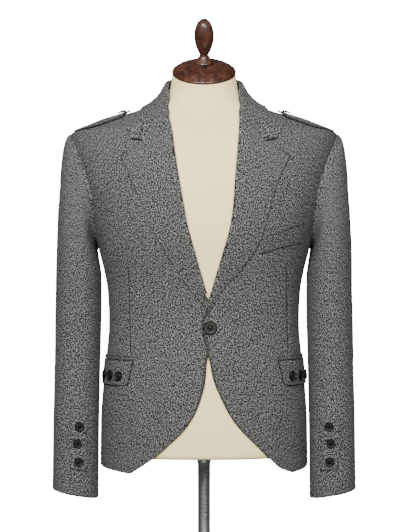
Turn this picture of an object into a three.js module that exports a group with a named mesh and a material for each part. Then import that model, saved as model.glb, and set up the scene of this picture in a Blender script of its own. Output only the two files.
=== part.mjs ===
// A tweed jacket on a dress form, in millimetres, +Z up, front towards -Y, the wearer's left at +X.
// The origin is the middle of the base plate's underside.
import * as THREE from "three";
import { mergeVertices } from "three/addons/utils/BufferGeometryUtils.js";

// Cloth and seams
const CLOTH = 2.6; // tweed with its interlining
const SEAM = 0.3; // gap between pieces at a seam
const LIE = 0.5; // gap under a piece that lies on a panel
const FORM_GAP = 1.6; // from the inside of the cloth to the dress form
const NECK_GAP = 3.2; // the same round the neck

// Heights on the jacket
const HEM = 173;
const HEM_DIP = 10; // the front corner hangs lower than the side
const ARMHOLE_BOTTOM = 548;
const SHOULDER = 746;
const GORGE = 767.5; // where collar, lapel and roll line meet

// Turns round the body, in degrees: 0 at the side, 90 at the front middle, -90 at the back middle
const SIDE_SEAM = -8;
const SHOULDER_SEAM = -4;
const FRONT_SWELL = 29; // how far the armhole reaches forwards
const BACK_SWELL = 18;

// Roll of the lapel and the collar
const ROLL = 3.0; // radius of the fold's middle line
const ROLL_REACH = ROLL + CLOTH / 2 + SEAM;
const OVERLAP_LIFT = CLOTH + 1.2; // the left front lies on the right one

// Sections of the jacket's outside: half width, depth forwards, depth backwards, squareness
const BODY = [
  { z: 150, wide: 181, front: 118, back: 127, round: 2.3 },
  { z: 240, wide: 180.3, front: 120, back: 130, round: 2.3 },
  { z: 302, wide: 176.5, front: 119, back: 127, round: 2.3 },
  { z: 341, wide: 172.5, front: 116, back: 120, round: 2.3 },
  { z: 370, wide: 169.5, front: 112, back: 114, round: 2.3 },
  { z: 400, wide: 166.5, front: 109, back: 107, round: 2.3 },
  { z: 424, wide: 166, front: 108, back: 105, round: 2.3 },
  { z: 475, wide: 168.5, front: 113, back: 107, round: 2.3 },
  { z: 505, wide: 174, front: 119, back: 111, round: 2.3 },
  { z: 540, wide: 183, front: 127, back: 115, round: 2.3 },
  { z: 560, wide: 187.5, front: 131, back: 118, round: 2.3 },
  { z: 600, wide: 197, front: 134, back: 121, round: 2.3 },
  { z: 650, wide: 211, front: 131, back: 123, round: 2.3 },
  { z: 700, wide: 224, front: 119, back: 124, round: 2.25 },
  { z: 735, wide: 231, front: 101, back: 119, round: 2.2 },
  { z: 746, wide: 232, front: 93, back: 114, round: 2.2 },
  { z: 757, wide: 205, front: 85, back: 108, round: 2.15 },
  { z: 769, wide: 174, front: 75, back: 100, round: 2.15 },
  { z: 782, wide: 130, front: 66, back: 92, round: 2.1 },
  { z: 790, wide: 106, front: 62, back: 87, round: 2.1 },
  { z: 802, wide: 79.5, front: 60, back: 79, round: 2.05 },
  { z: 812, wide: 70, front: 60, back: 73, round: 2.05 },
  { z: 825, wide: 65, front: 61, back: 64, round: 2.0 },
  { z: 840, wide: 62.5, front: 62.5, back: 57, round: 2.0 },
  { z: 860, wide: 61, front: 64.5, back: 51, round: 2.0 },
  { z: 890, wide: 61, front: 66, back: 47, round: 2.0 },
];

// Visible edge of each front, as a distance from the middle towards its own side:
// cutaway edge below the button, roll line above it
const FRONT_EDGE = [
  { z: 163, left: 151, right: 125.5 },
  { z: 172, left: 130, right: 112 },
  { z: 192, left: 108.7, right: 84 },
  { z: 216, left: 85, right: 57.5 },
  { z: 238, left: 63, right: 34.7 },
  { z: 262, left: 44.5, right: 18 },
  { z: 290, left: 29.5, right: 6 },
  { z: 322, left: 16, right: -2 },
  { z: 356, left: 8.4, right: -5 },
  { z: 385, left: 2, right: -17 },
  { z: 410, left: -4, right: -22 },
  { z: 434, left: -1, right: -18 },
  { z: 464, left: 8.4, right: -7 },
  { z: 503, left: 20.7, right: 4.7 },
  { z: 538, left: 31, right: 14.6 },
  { z: 582, left: 43, right: 26.7 },
  { z: 621, left: 48.3, right: 34 },
  { z: 656, left: 50.5, right: 40.4 },
  { z: 709, left: 55, right: 48.6 },
  { z: 742, left: 57.5, right: 53 },
  { z: 767.5, left: 58.5, right: 58.5 },
];

// Outer edge of each lapel, from its lower end to its tip
const LAPEL_EDGE = [
  { at: 0, leftX: 9, leftZ: 438, rightX: 7, rightZ: 461 },
  { at: 0.1, leftX: 30, leftZ: 475, rightX: 25, rightZ: 478 },
  { at: 0.22, leftX: 61, leftZ: 509, rightX: 44, rightZ: 506 },
  { at: 0.34, leftX: 84, leftZ: 541, rightX: 67, rightZ: 541 },
  { at: 0.46, leftX: 98, leftZ: 570, rightX: 84, rightZ: 572 },
  { at: 0.6, leftX: 109, leftZ: 612, rightX: 101, rightZ: 611 },
  { at: 0.78, leftX: 124, leftZ: 658, rightX: 119, rightZ: 652 },
  { at: 1, leftX: 145, leftZ: 701.7, rightX: 141, rightZ: 701.7 },
];
const LAPEL_START = { left: 441, right: 468 };
const NOTCH = { x: 103, z: 725, share: 0.6 };
const LAPEL_FULL = 65; // width over which the roll settles down to the front

// Seam, fold and outer edge of the collar, from the gorge to the middle of the back
const COLLAR = [
  { at: 0, seamTurn: 71.4, seamZ: 767.5, foldTurn: 72.2, foldZ: 768.3, edgeTurn: 61.4, edgeZ: 728.6 },
  { at: 0.1, seamTurn: 66.2, seamZ: 775, foldTurn: 64, foldZ: 780, edgeTurn: 57, edgeZ: 750.5 },
  { at: 0.2, seamTurn: 54.5, seamZ: 787, foldTurn: 52, foldZ: 791.5, edgeTurn: 51, edgeZ: 767 },
  { at: 0.32, seamTurn: 38.5, seamZ: 795, foldTurn: 36, foldZ: 804, edgeTurn: 37, edgeZ: 780 },
  { at: 0.45, seamTurn: 18.7, seamZ: 800, foldTurn: 17, foldZ: 820, edgeTurn: 20, edgeZ: 787.5 },
  { at: 0.58, seamTurn: -4, seamZ: 802.5, foldTurn: -4, foldZ: 834, edgeTurn: 0, edgeZ: 791 },
  { at: 0.7, seamTurn: -28, seamZ: 805, foldTurn: -28, foldZ: 840, edgeTurn: -28, edgeZ: 792.5 },
  { at: 0.85, seamTurn: -59, seamZ: 808, foldTurn: -59, foldZ: 843, edgeTurn: -59, edgeZ: 795.5 },
  { at: 1, seamTurn: -90, seamZ: 810, foldTurn: -90, foldZ: 844, edgeTurn: -90, edgeZ: 798 },
];
const COLLAR_FRONT = [0, 0.05, 0.1, 0.2, 0.32, 0.45, 0.545]; // stations shared with the fronts' rows
const COLLAR_BACK = 8; // steps of the back neck, shared with the backs' columns
const COLLAR_BACK_FROM = 0.58;

// Sections of a hanging sleeve below the armpit: height, tilt, inner and outer reach, middle, half depth
const SLEEVE = [
  { z: 123, tilt: 8, inner: 183, outer: 262.5, middle: -26, deep: 46.5 },
  { z: 228, tilt: 6, inner: 182.6, outer: 262, middle: -17, deep: 51 },
  { z: 340, tilt: 5, inner: 181.2, outer: 260.5, middle: -7, deep: 57 },
  { z: 455, tilt: 14, inner: 179.2, outer: 259, middle: 0, deep: 66 },
  { z: 530, tilt: 30, inner: 179.5, outer: 257.5, middle: 4, deep: 74 },
];
const SLEEVE_SQUARE = 2.25;
const SLEEVE_HEAD = [0, 0.12, 0.27, 0.45, 0.7, 1]; // stations of the sleeve head
const SLEEVE_BELOW = [455, 397, 340, 284, 228, 175, 123];
const HALF_ROUND = 10; // steps of half the armhole

// Small pieces
const BUTTON = { front: 11.5, flap: 8.5, cuff: 7.8, strap: 7.5 }; // radii
const BUTTON_TALL = 3.4;
const FLAP = { top: 355, bottom: 311.5, slant: 3.2, cloth: 2.2 };
const FLAP_TURNS = {
  left: { front: 46.2, back: -3, buttons: [34.2, 22.8, 11.2] },
  right: { front: 49, back: -1, buttons: [37, 26.2, 15] },
};
const FLAP_BUTTON_Z = 327.5;
const JET = { bottom: 355.9, top: 361.5, longer: 1.5, cloth: 1.8 };
const WELT = [
  { at: 0, lowX: 93.5, lowZ: 536.5, highX: 101.5, highZ: 563.5 },
  { at: 1, lowX: 163.5, lowZ: 556, highX: 167.5, highZ: 588 },
];
const TAB = { x: 214.5, half: 13.5, bottom: 168, top: 262, bulge: 5, cloth: 2.0 };
const CUFF_BUTTONS = [
  { z: 242, x: 213.5 },
  { z: 213, x: 216.5 },
  { z: 182, x: 214.5 },
];
const STRAP = { out: 226.5, tip: 127, middle: -15, half: 23, wider: 6, point: 14, cloth: 3.0, raised: 1.6 };
const STRAP_BUTTON_X = 141;

// Dress form and stand
const FORM_BOTTOM = 188;
const NECK_ROOT = 806;
const NECK_TILT = THREE.MathUtils.degToRad(28);
const NECK_TOP = { y: -7, z: 851, radius: 56 };
const POLE_RADIUS = 11;
const BASE_RADIUS = 165;
const BASE_TALL = 12;

const TWEED = { color: 0x6b6b69, roughness: 0.95, metalness: 0 };
const HORN = { color: 0x171615, roughness: 0.35, metalness: 0 };
const CREAM = { color: 0xf3ead6, roughness: 0.85, metalness: 0 };
const WOOD = { color: 0x5d3320, roughness: 0.3, metalness: 0 };
const STEEL = { color: 0xb9bcc0, roughness: 0.35, metalness: 1 };

const jacketOnForm = new THREE.Group();

// A smooth curve through one column of a table, which never swings past its rows
function column(rows, key, value) {
  const x = rows.map((row) => row[key]);
  const y = rows.map((row) => row[value]);
  const step = x.slice(1).map((next, i) => (y[i + 1] - y[i]) / (next - x[i]));
  const slope = x.map((_, i) => {
    if (i === 0) return step[0];
    if (i === x.length - 1) return step[i - 1];
    if (step[i - 1] * step[i] <= 0) return 0;
    return (2 * step[i - 1] * step[i]) / (step[i - 1] + step[i]);
  });
  return (at) => {
    let i = 0;
    while (i < x.length - 2 && at > x[i + 1]) i += 1;
    const wide = x[i + 1] - x[i];
    const t = THREE.MathUtils.clamp((at - x[i]) / wide, 0, 1);
    const rise = t * t * (3 - 2 * t);
    const early = t * (1 - t) * (1 - t) * wide;
    const late = t * t * (t - 1) * wide;
    return y[i] * (1 - rise) + y[i + 1] * rise + slope[i] * early + slope[i + 1] * late;
  };
}

const bodyWide = column(BODY, "z", "wide");
const bodyFront = column(BODY, "z", "front");
const bodyBack = column(BODY, "z", "back");
const bodyRound = column(BODY, "z", "round");
const seamTurn = column(COLLAR, "at", "seamTurn");
const seamZ = column(COLLAR, "at", "seamZ");

const smooth = THREE.MathUtils.smoothstep;
const mix = THREE.MathUtils.lerp;
const rad = THREE.MathUtils.degToRad;
const signedPower = (value, power) => Math.sign(value) * Math.abs(value) ** power;

// How far a point lies outside the jacket's outside, as a ratio that is 0 on it
function outside(p) {
  const n = bodyRound(p.z);
  const deep = p.y < 0 ? bodyFront(p.z) : bodyBack(p.z);
  return (Math.abs(p.x) / bodyWide(p.z)) ** n + (Math.abs(p.y) / deep) ** n - 1;
}

// Direction and steepness in which that ratio grows
function slopeAt(p) {
  const h = 0.05;
  const along = (axis) => {
    const step = new THREE.Vector3();
    step[axis] = h;
    return (outside(p.clone().add(step)) - outside(p.clone().sub(step))) / (2 * h);
  };
  return new THREE.Vector3(along("x"), along("y"), along("z"));
}

const normalAt = (p) => slopeAt(p).normalize();

// Moves a point out until it lies at least so far from the jacket's outside
function clearOf(p, gap) {
  const out = p.clone();
  for (let i = 0; i < 4; i += 1) {
    const slope = slopeAt(out);
    const short = gap - outside(out) / slope.length();
    if (short > 0) out.addScaledVector(slope.normalize(), short);
  }
  return out;
}

// A point of the jacket's outside at a turn in degrees and a height, on side 1 (left) or -1
function bodyPoint(side, turn, z) {
  const power = 2 / bodyRound(z);
  const deep = turn >= 0 ? -bodyFront(z) : bodyBack(z);
  return new THREE.Vector3(
    side * bodyWide(z) * signedPower(Math.cos(rad(turn)), power),
    deep * Math.abs(Math.sin(rad(turn))) ** power,
    z,
  );
}

// The turn at which the front lies at a distance x from the middle
function turnAt(x, z) {
  const share = THREE.MathUtils.clamp(x / bodyWide(z), -1, 1);
  const cosine = signedPower(share, bodyRound(z) / 2);
  return THREE.MathUtils.radToDeg(Math.acos(cosine));
}

// Height of the shoulder over a place in plan
function shoulderPoint(x, y) {
  let low = SHOULDER - 30;
  let high = NECK_ROOT;
  for (let i = 0; i < 40; i += 1) {
    const z = (low + high) / 2;
    if (outside(new THREE.Vector3(x, y, z)) < 0) low = z;
    else high = z;
  }
  return new THREE.Vector3(x, y, low);
}

const moved = (p, direction, by) => p.clone().addScaledVector(direction, by);
const between = (a, b, t) => a.clone().lerp(b, t);

// How far the left front is lifted where it lies on the right one
function overlapLift(side, x, z) {
  if (side < 0) return 0;
  const across = 1 - smooth(x, 32, 75);
  return OVERLAP_LIFT * across * smooth(z, 325, 358) * (1 - smooth(z, 458, 500));
}

// A point on or over a front, with out measured from the cloth's outside
function frontPoint(side, turn, z, out) {
  const p = bodyPoint(side, turn, z);
  return moved(p, normalAt(p), out + overlapLift(side, side * p.x, z));
}

const frontAt = (side, x, z, out) => frontPoint(side, turnAt(x, z), z, out);

// Adds one closed mesh under its name
function add(name, geometry, finish) {
  const bare = geometry.clone();
  bare.deleteAttribute("normal");
  bare.deleteAttribute("uv");
  const merged = mergeVertices(bare, 1e-3);
  const faces = [];
  const index = merged.index.array;
  const spots = merged.attributes.position;
  const corner = (i) => new THREE.Vector3().fromBufferAttribute(spots, i);
  let volume = 0;
  for (let i = 0; i < index.length; i += 3) {
    const [a, b, c] = index.slice(i, i + 3);
    if (a === b || b === c || a === c) continue;
    faces.push(a, b, c);
    volume += corner(a).dot(corner(b).cross(corner(c)));
  }
  merged.setIndex(volume < 0 ? faces.reverse() : faces);
  merged.computeVertexNormals();
  const mesh = new THREE.Mesh(merged, new THREE.MeshStandardMaterial(finish));
  mesh.name = name;
  jacketOnForm.add(mesh);
}

// Closed wall between an outer and an inner grid of points, whose columns close on themselves in a ring
function wall(outer, inner, ring = false) {
  const rows = outer.length;
  const columns = outer[0].length;
  const spots = [...outer.flat(), ...inner.flat()];
  const faces = [];
  const place = (layer, i, j) => layer * rows * columns + i * columns + (j % columns);
  const face = (a, b, c, d) => {
    const straight = spots[a].distanceTo(spots[c]) <= spots[b].distanceTo(spots[d]);
    if (straight) faces.push(a, b, c, a, c, d);
    else faces.push(b, c, d, b, d, a);
  };
  const last = ring ? columns : columns - 1;
  for (let i = 0; i < rows - 1; i += 1) {
    for (let j = 0; j < last; j += 1) {
      face(place(0, i, j), place(0, i, j + 1), place(0, i + 1, j + 1), place(0, i + 1, j));
      face(place(1, i + 1, j), place(1, i + 1, j + 1), place(1, i, j + 1), place(1, i, j));
    }
  }
  for (let j = 0; j < last; j += 1) {
    face(place(0, 0, j + 1), place(0, 0, j), place(1, 0, j), place(1, 0, j + 1));
    const end = rows - 1;
    face(place(0, end, j), place(0, end, j + 1), place(1, end, j + 1), place(1, end, j));
  }
  for (let i = 0; i < rows - 1 && !ring; i += 1) {
    face(place(0, i, 0), place(0, i + 1, 0), place(1, i + 1, 0), place(1, i, 0));
    const side = columns - 1;
    face(place(0, i + 1, side), place(0, i, side), place(1, i, side), place(1, i + 1, side));
  }
  return pointsGeometry(spots, faces);
}

function pointsGeometry(spots, faces) {
  const geometry = new THREE.BufferGeometry().setFromPoints(spots);
  geometry.setIndex(faces);
  return geometry;
}

// Directions square to a grid of points, all on the same hand
function gridNormals(grid, hand) {
  const end = grid.length - 1;
  const side = grid[0].length - 1;
  return grid.map((row, i) =>
    row.map((_, j) => {
      const along = grid[Math.min(i + 1, end)][j].clone().sub(grid[Math.max(i - 1, 0)][j]);
      const across = j > 0
        ? row[Math.min(j + 1, side)].clone().sub(row[j - 1])
        : row[1].clone().multiplyScalar(4).addScaledVector(row[0], -3).sub(row[2]);
      return along.cross(across).normalize().multiplyScalar(hand);
    }),
  );
}

// A wall of even thickness round a grid of points on its middle
function thick(grid, cloth, hand) {
  const normals = gridNormals(grid, hand);
  const layer = (by) => grid.map((row, i) => row.map((p, j) => moved(p, normals[i][j], by)));
  return wall(layer(cloth / 2), layer(-cloth / 2));
}

// Armhole: a closed line on the body, at an angle from the shoulder over the front to the armpit
const ARM_MIDDLE = (SHOULDER + ARMHOLE_BOTTOM) / 2;
const ARM_HALF = (SHOULDER - ARMHOLE_BOTTOM) / 2;

function armholeTurn(angle) {
  const base = mix(SHOULDER_SEAM, SIDE_SEAM, (1 - Math.cos(angle)) / 2);
  const swell = Math.sin(angle) >= 0 ? FRONT_SWELL : BACK_SWELL;
  return base + swell * Math.sin(angle);
}

const armholeZ = (angle) => ARM_MIDDLE + ARM_HALF * Math.cos(angle);
const armholePoint = (side, angle) => bodyPoint(side, armholeTurn(angle), armholeZ(angle));

// The outer edge of a front (hand 1) or a back (hand -1) at a height
function outerTurn(hand, z) {
  if (z <= ARMHOLE_BOTTOM) return SIDE_SEAM;
  if (z >= SHOULDER) return SHOULDER_SEAM;
  return armholeTurn(hand * Math.acos((z - ARM_MIDDLE) / ARM_HALF));
}

// Half a seam's gap, as a turn at a height
const seamShare = (z) => THREE.MathUtils.radToDeg(SEAM / 2 / bodyWide(z)) * 1.6;

// Rows shared by the fronts and backs through the armhole
const ARM_ROWS = Array.from({ length: HALF_ROUND + 1 }, (_, k) =>
  armholeZ(Math.PI * (1 - k / HALF_ROUND)),
);
const SKIRT_ROWS = [163, 172, 183, 198, 216, 238, 262, 290, 322, 356, 385, 410];
const CHEST_ROWS = [492, 520];

const edgeOf = { 1: column(FRONT_EDGE, "z", "left"), "-1": column(FRONT_EDGE, "z", "right") };

const lapelStart = (side) => (side > 0 ? LAPEL_START.left : LAPEL_START.right);

// The fold stands proud of the panel's own edge once the lapel has begun
function panelEdge(side, z) {
  return edgeOf[side](z) + ROLL_REACH * smooth(z, lapelStart(side) - 12, lapelStart(side) - 1);
}

// Rows that a front and its lapel share, from the start of the lapel to the gorge
function rollRows(side) {
  const start = lapelStart(side);
  const below = [start - 36, start - 18, start - 9].filter((z) => z > 420);
  const between = [468, ...CHEST_ROWS].filter((z) => z > start + 5);
  return { below, along: [start, ...between, ...ARM_ROWS, 757, GORGE] };
}

function makeFront(side, name) {
  const { below, along } = rollRows(side);
  const rows = [...SKIRT_ROWS, ...below, ...along].map((z) => ({
    z,
    inner: turnAt(panelEdge(side, z), z),
  }));
  COLLAR_FRONT.slice(1).forEach((at) => rows.push({ z: seamZ(at), inner: seamTurn(at) }));
  const columns = 10;
  const layer = (out) =>
    rows.map(({ z, inner }) => {
      const from = outerTurn(1, z) + seamShare(z);
      return Array.from({ length: columns + 1 }, (_, j) => {
        const share = j / columns;
        const dip = HEM_DIP * (1 - share) * (1 - smooth(z, 163, 238));
        return frontPoint(side, mix(from, inner, share), z + dip, out);
      });
    });
  add(name, wall(layer(0), layer(-CLOTH)), TWEED);
}

function makeBack(side, name) {
  const neck = Array.from({ length: COLLAR_BACK + 1 }, (_, k) =>
    mix(COLLAR_BACK_FROM, 1, k / COLLAR_BACK),
  );
  const first = seamTurn(COLLAR_BACK_FROM);
  const shares = neck.map((at) => (seamTurn(at) - first) / (-90 - first));
  const skirt = SKIRT_ROWS.filter((z) => z > HEM + 8);
  const waist = [432, 460, ...CHEST_ROWS];
  const rows = [HEM, ...skirt, ...waist, ...ARM_ROWS, 757, 769, 782, 794, 802.5];
  const layer = (out) =>
    rows.map((z) =>
      shares.map((share, j) => {
        const turn = mix(outerTurn(-1, z) - seamShare(z), -90 + seamShare(z), share);
        const rise = (seamZ(neck[j]) - 802.5) * smooth(z, 757, 802.5);
        const p = bodyPoint(side, turn, z + rise);
        return moved(p, normalAt(p), out);
      }),
    );
  add(name, wall(layer(0), layer(-CLOTH)), TWEED);
}

// Distances from the fold's start over the roll, as steps across and out
const ROLL_STEPS = [0, 45, 90, 135, 180].map((angle) => ({
  across: -SEAM - ROLL * Math.sin(rad(angle)),
  out: -CLOTH / 2 + ROLL * (1 - Math.cos(rad(angle))),
}));
const SETTLED = LIE + CLOTH / 2;

// A place on the way from one point over a corner to another, drawn on beyond the first
function bentPath(from, corner, to, share, turning) {
  const low = share <= turning;
  const part = low ? share / turning : (share - turning) / (1 - turning);
  const [a, b] = low ? [from, corner] : [corner, to];
  return { x: mix(a.x, b.x, part), z: mix(a.z, b.z, part) };
}

// One row of a turned-over leaf: round the roll, then settling down on the front
function rolledRow(side, spot, wide, shares, settled) {
  const roll = ROLL_STEPS.map(({ across, out }) => {
    const { x, z } = spot(across / wide);
    return frontAt(side, x, z, out);
  });
  const top = ROLL_STEPS.at(-1).out;
  const leaf = shares.map((share) => {
    const { x, z } = spot(share);
    const down = smooth(share * wide, 0, Math.min(wide, LAPEL_FULL));
    return frontAt(side, x, z, mix(top, settled, down));
  });
  return [...roll, ...leaf];
}

function makeLapel(side, name) {
  const key = side > 0 ? "left" : "right";
  const edgeX = column(LAPEL_EDGE, "at", key + "X");
  const edgeZ = column(LAPEL_EDGE, "at", key + "Z");
  const shares = [0.15, 0.33, NOTCH.share, 0.8, 1];
  const grid = rollRows(side).along.map((z) => {
    const at = (z - LAPEL_START[key]) / (GORGE - LAPEL_START[key]);
    const start = { x: panelEdge(side, z), z };
    const end = { x: edgeX(at), z: edgeZ(at) };
    const wide = Math.hypot(end.x - start.x, end.z - start.z);
    const kink = smooth(at, 0.8, 1);
    const spot = (share) => {
      const straight = { x: mix(start.x, end.x, share), z: mix(start.z, end.z, share) };
      const bent = bentPath(start, NOTCH, end, share, NOTCH.share);
      return { x: mix(straight.x, bent.x, kink), z: mix(straight.z, bent.z, kink) };
    };
    return rolledRow(side, spot, wide, shares, SETTLED);
  });
  add(name, thick(grid, CLOTH, side), TWEED);
}

const GORGE_LIFT = 1.6; // the collar starts so much above the lapel, which leaves the gorge seam open
const COLLAR_NOTCH = 0.72; // share of the collar's end that is sewn to the lapel
const COLLAR_SHARES = [0.24, 0.48, COLLAR_NOTCH, 1];
const COLLAR_CLEAR = CLOTH / 2 + 1.6;
const COLLAR_SAG = 5; // how far the leaf hollows in between its fold and its edge, at the side of the neck

function makeCollar() {
  const back = Array.from({ length: COLLAR_BACK + 1 }, (_, k) =>
    mix(COLLAR_BACK_FROM, 1, k / COLLAR_BACK),
  );
  const stations = [...COLLAR_FRONT, ...back];
  const read = Object.fromEntries(
    ["foldTurn", "foldZ", "edgeTurn", "edgeZ"].map((key) => [key, column(COLLAR, "at", key)]),
  );
  const gorgeRow = (side) => {
    const start = { x: panelEdge(side, GORGE), z: GORGE };
    const tip = bodyPoint(1, COLLAR[0].edgeTurn, COLLAR[0].edgeZ);
    const run = new THREE.Vector2(NOTCH.x - start.x, NOTCH.z - start.z);
    const wide = run.length() / COLLAR_NOTCH;
    const spot = (share) => {
      const { x, z } = bentPath(start, NOTCH, tip, share, COLLAR_NOTCH);
      return { x, z: z + GORGE_LIFT };
    };
    const row = rolledRow(side, spot, wide, COLLAR_SHARES, COLLAR_CLEAR);
    const step = row[1].clone().sub(row[0]).setLength(0.2);
    return [moved(row[0], step, -2), moved(row[0], step, -1), ...row];
  };
  const rowAt = (side, at) => {
    if (at === 0) return gorgeRow(side);
    const seam = bodyPoint(side, seamTurn(at), seamZ(at));
    const fold = bodyPoint(side, read.foldTurn(at), read.foldZ(at));
    const edge = bodyPoint(side, read.edgeTurn(at), read.edgeZ(at));
    const start = (SEAM + 0.15) / seam.distanceTo(fold);
    const up = fold.clone().sub(seam).normalize();
    const out = normalAt(fold);
    const stand = [0, 0.5, 1].map((share) => {
      const part = mix(start, 1, share);
      const p = bodyPoint(
        side,
        mix(seamTurn(at), read.foldTurn(at), part),
        mix(seamZ(at), read.foldZ(at), part),
      );
      return moved(p, normalAt(p), -CLOTH / 2);
    });
    const roll = ROLL_STEPS.slice(1).map((step) =>
      moved(moved(fold, out, step.out), up, -step.across - SEAM),
    );
    const from = roll.at(-1);
    const to = moved(edge, normalAt(edge), COLLAR_CLEAR);
    const hollow = COLLAR_SAG * smooth(at, 0.25, 0.5) * (1 - smooth(at, 0.75, 0.95));
    const leaf = COLLAR_SHARES.map((share) => {
      const p = between(from, to, share);
      return clearOf(moved(p, normalAt(p), -hollow * Math.sin(Math.PI * share)), COLLAR_CLEAR);
    });
    return [...stand, ...roll, ...leaf];
  };
  const left = stations.map((at) => rowAt(1, at));
  const right = stations.slice(0, -1).map((at) => rowAt(-1, at));
  add("collar", thick([...left, ...right.reverse()], CLOTH, 1), TWEED);
}

const sleeveTilt = column(SLEEVE, "z", "tilt");
const sleeveInner = column(SLEEVE, "z", "inner");
const sleeveOuter = column(SLEEVE, "z", "outer");
const sleeveMiddle = column(SLEEVE, "z", "middle");
const sleeveDeep = column(SLEEVE, "z", "deep");

// A point of a sleeve's outside below the armpit: angle 0 at its outer side, 90 at its front
function sleevePoint(side, angle, z) {
  const inner = sleeveInner(z);
  const outer = sleeveOuter(z);
  const power = 2 / SLEEVE_SQUARE;
  return new THREE.Vector3(
    side * ((inner + outer) / 2 + ((outer - inner) / 2) * signedPower(Math.cos(angle), power)),
    sleeveMiddle(z) - sleeveDeep(z) * signedPower(Math.sin(angle), power),
    z + sleeveTilt(z) * Math.cos(angle),
  );
}

function makeSleeve(side, name) {
  const angles = Array.from({ length: 2 * HALF_ROUND }, (_, k) => (Math.PI * k) / HALF_ROUND);
  const top = 530;
  const head = angles.map((angle) => {
    const seam = armholePoint(side, angle);
    const ahead = armholePoint(side, angle + 0.02).sub(armholePoint(side, angle - 0.02));
    const out = normalAt(seam);
    const inwards = out.clone().cross(ahead).normalize().multiplyScalar(side);
    const high = Math.max(0, Math.cos(angle));
    const low = Math.max(0, -Math.cos(angle));
    const flank = Math.abs(Math.sin(angle));
    const forward = -Math.sin(angle);
    const root = moved(moved(seam, inwards, SEAM + 0.05), out, -1);
    const p0 = moved(root, out, 1.3);
    const p1 = p0.clone();
    p1.x += side * (20 * high + 12 * flank + 7 * low);
    p1.y += 9 * forward;
    p1.z += 8 * high - 4 * flank;
    const p3 = sleevePoint(side, angle, top);
    const p2 = p3.clone();
    p2.x += side * (-3 * high + 4.5 * low);
    p2.y += 3 * forward;
    p2.z += 80 * high + 45 * flank + 25 * low;
    const curve = new THREE.CubicBezierCurve3(p0, p1, p2, p3);
    return { inwards, points: [root, ...SLEEVE_HEAD.map((t) => curve.getPoint(t))] };
  });
  const outer = head[0].points.map((_, i) =>
    head.map(({ points }) => (i < 2 ? points[i] : clearOf(points[i], 0.9))),
  );
  SLEEVE_BELOW.forEach((z) => outer.push(angles.map((angle) => sleevePoint(side, angle, z))));
  const count = angles.length;
  const inner = outer.map((ring, i) =>
    ring.map((p, j) => {
      if (i === 0) return moved(p, head[j].inwards, CLOTH);
      const up = outer[i - 1][j].clone().sub(outer[Math.min(i + 1, outer.length - 1)][j]);
      const round = ring[(j + 1) % count].clone().sub(ring[(j + count - 1) % count]);
      return moved(p, up.cross(round).normalize(), -side * CLOTH);
    }),
  );
  add(name, wall(outer, inner, true), TWEED);
}

// A flat patch laid on a front, from a rule that gives a place (turn, height) for shares across and down
function patch(side, across, down, place, under, cloth) {
  const layer = (out) =>
    Array.from({ length: down + 1 }, (_, i) =>
      Array.from({ length: across + 1 }, (_, j) => {
        const { turn, z } = place(j / across, i / down);
        return frontPoint(side, turn, z, out);
      }),
    );
  return wall(layer(under + cloth), layer(under));
}

// A corner rounded off by lifting the ends of a lower edge
const rounded = (share, by) => by * (1 - Math.sqrt(1 - Math.max(0, (share - 0.86) / 0.14) ** 2 * 0.96));

function makeFlap(side, name, turns) {
  const place = (across, down) => {
    const front = turns.front - FLAP.slant * down;
    const back = turns.back + FLAP.slant * down;
    const lift = rounded(across, 9) + rounded(1 - across, 9);
    return {
      turn: mix(back, front, across),
      z: mix(FLAP.top, FLAP.bottom + lift, down),
    };
  };
  add(name, patch(side, 12, 3, place, LIE, FLAP.cloth), TWEED);
}

function makeJet(side, name, turns) {
  const place = (across, down) => ({
    turn: mix(turns.back - JET.longer, turns.front + JET.longer, across),
    z: mix(JET.top, JET.bottom, down),
  });
  add(name, patch(side, 12, 1, place, LIE, JET.cloth), TWEED);
}

function makeWelt() {
  const line = (key) => column(WELT, "at", key);
  const [lowX, lowZ, highX, highZ] = ["lowX", "lowZ", "highX", "highZ"].map(line);
  const place = (across, down) => {
    const x = mix(highX(across), lowX(across), down);
    const z = mix(highZ(across), lowZ(across), down);
    return { turn: turnAt(x, z), z };
  };
  add("chest_welt", patch(1, 8, 3, place, LIE, FLAP.cloth), TWEED);
}

// The angle round a sleeve's front at which it reaches x
function sleeveAngle(x, z) {
  const middle = (sleeveInner(z) + sleeveOuter(z)) / 2;
  const half = (sleeveOuter(z) - sleeveInner(z)) / 2;
  return Math.acos(signedPower((x - middle) / half, SLEEVE_SQUARE / 2));
}

// A point over the front of a sleeve, and the direction out of it
function cuffSpot(side, x, z, out) {
  const angle = sleeveAngle(x, z);
  const p = sleevePoint(side, angle, z);
  const round = sleevePoint(side, angle + 0.02, z).sub(sleevePoint(side, angle - 0.02, z));
  const up = sleevePoint(side, angle, z + 2).sub(sleevePoint(side, angle, z - 2));
  const normal = round.cross(up).normalize().multiplyScalar(-side);
  return { point: moved(p, normal, out), normal };
}

function makeTab(side, name) {
  const layer = (out) =>
    Array.from({ length: 7 }, (_, i) =>
      Array.from({ length: 5 }, (_, j) => {
        const across = mix(-1, 1, j / 4);
        const z = mix(TAB.bottom, TAB.top, i / 6);
        const bulge = TAB.bulge * Math.max(0, across) * Math.sin((Math.PI * i) / 6) ** 2;
        return cuffSpot(side, TAB.x + TAB.half * across + bulge, z, out).point;
      }),
    );
  add(name, wall(layer(LIE + TAB.cloth), layer(LIE)), TWEED);
}

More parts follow.
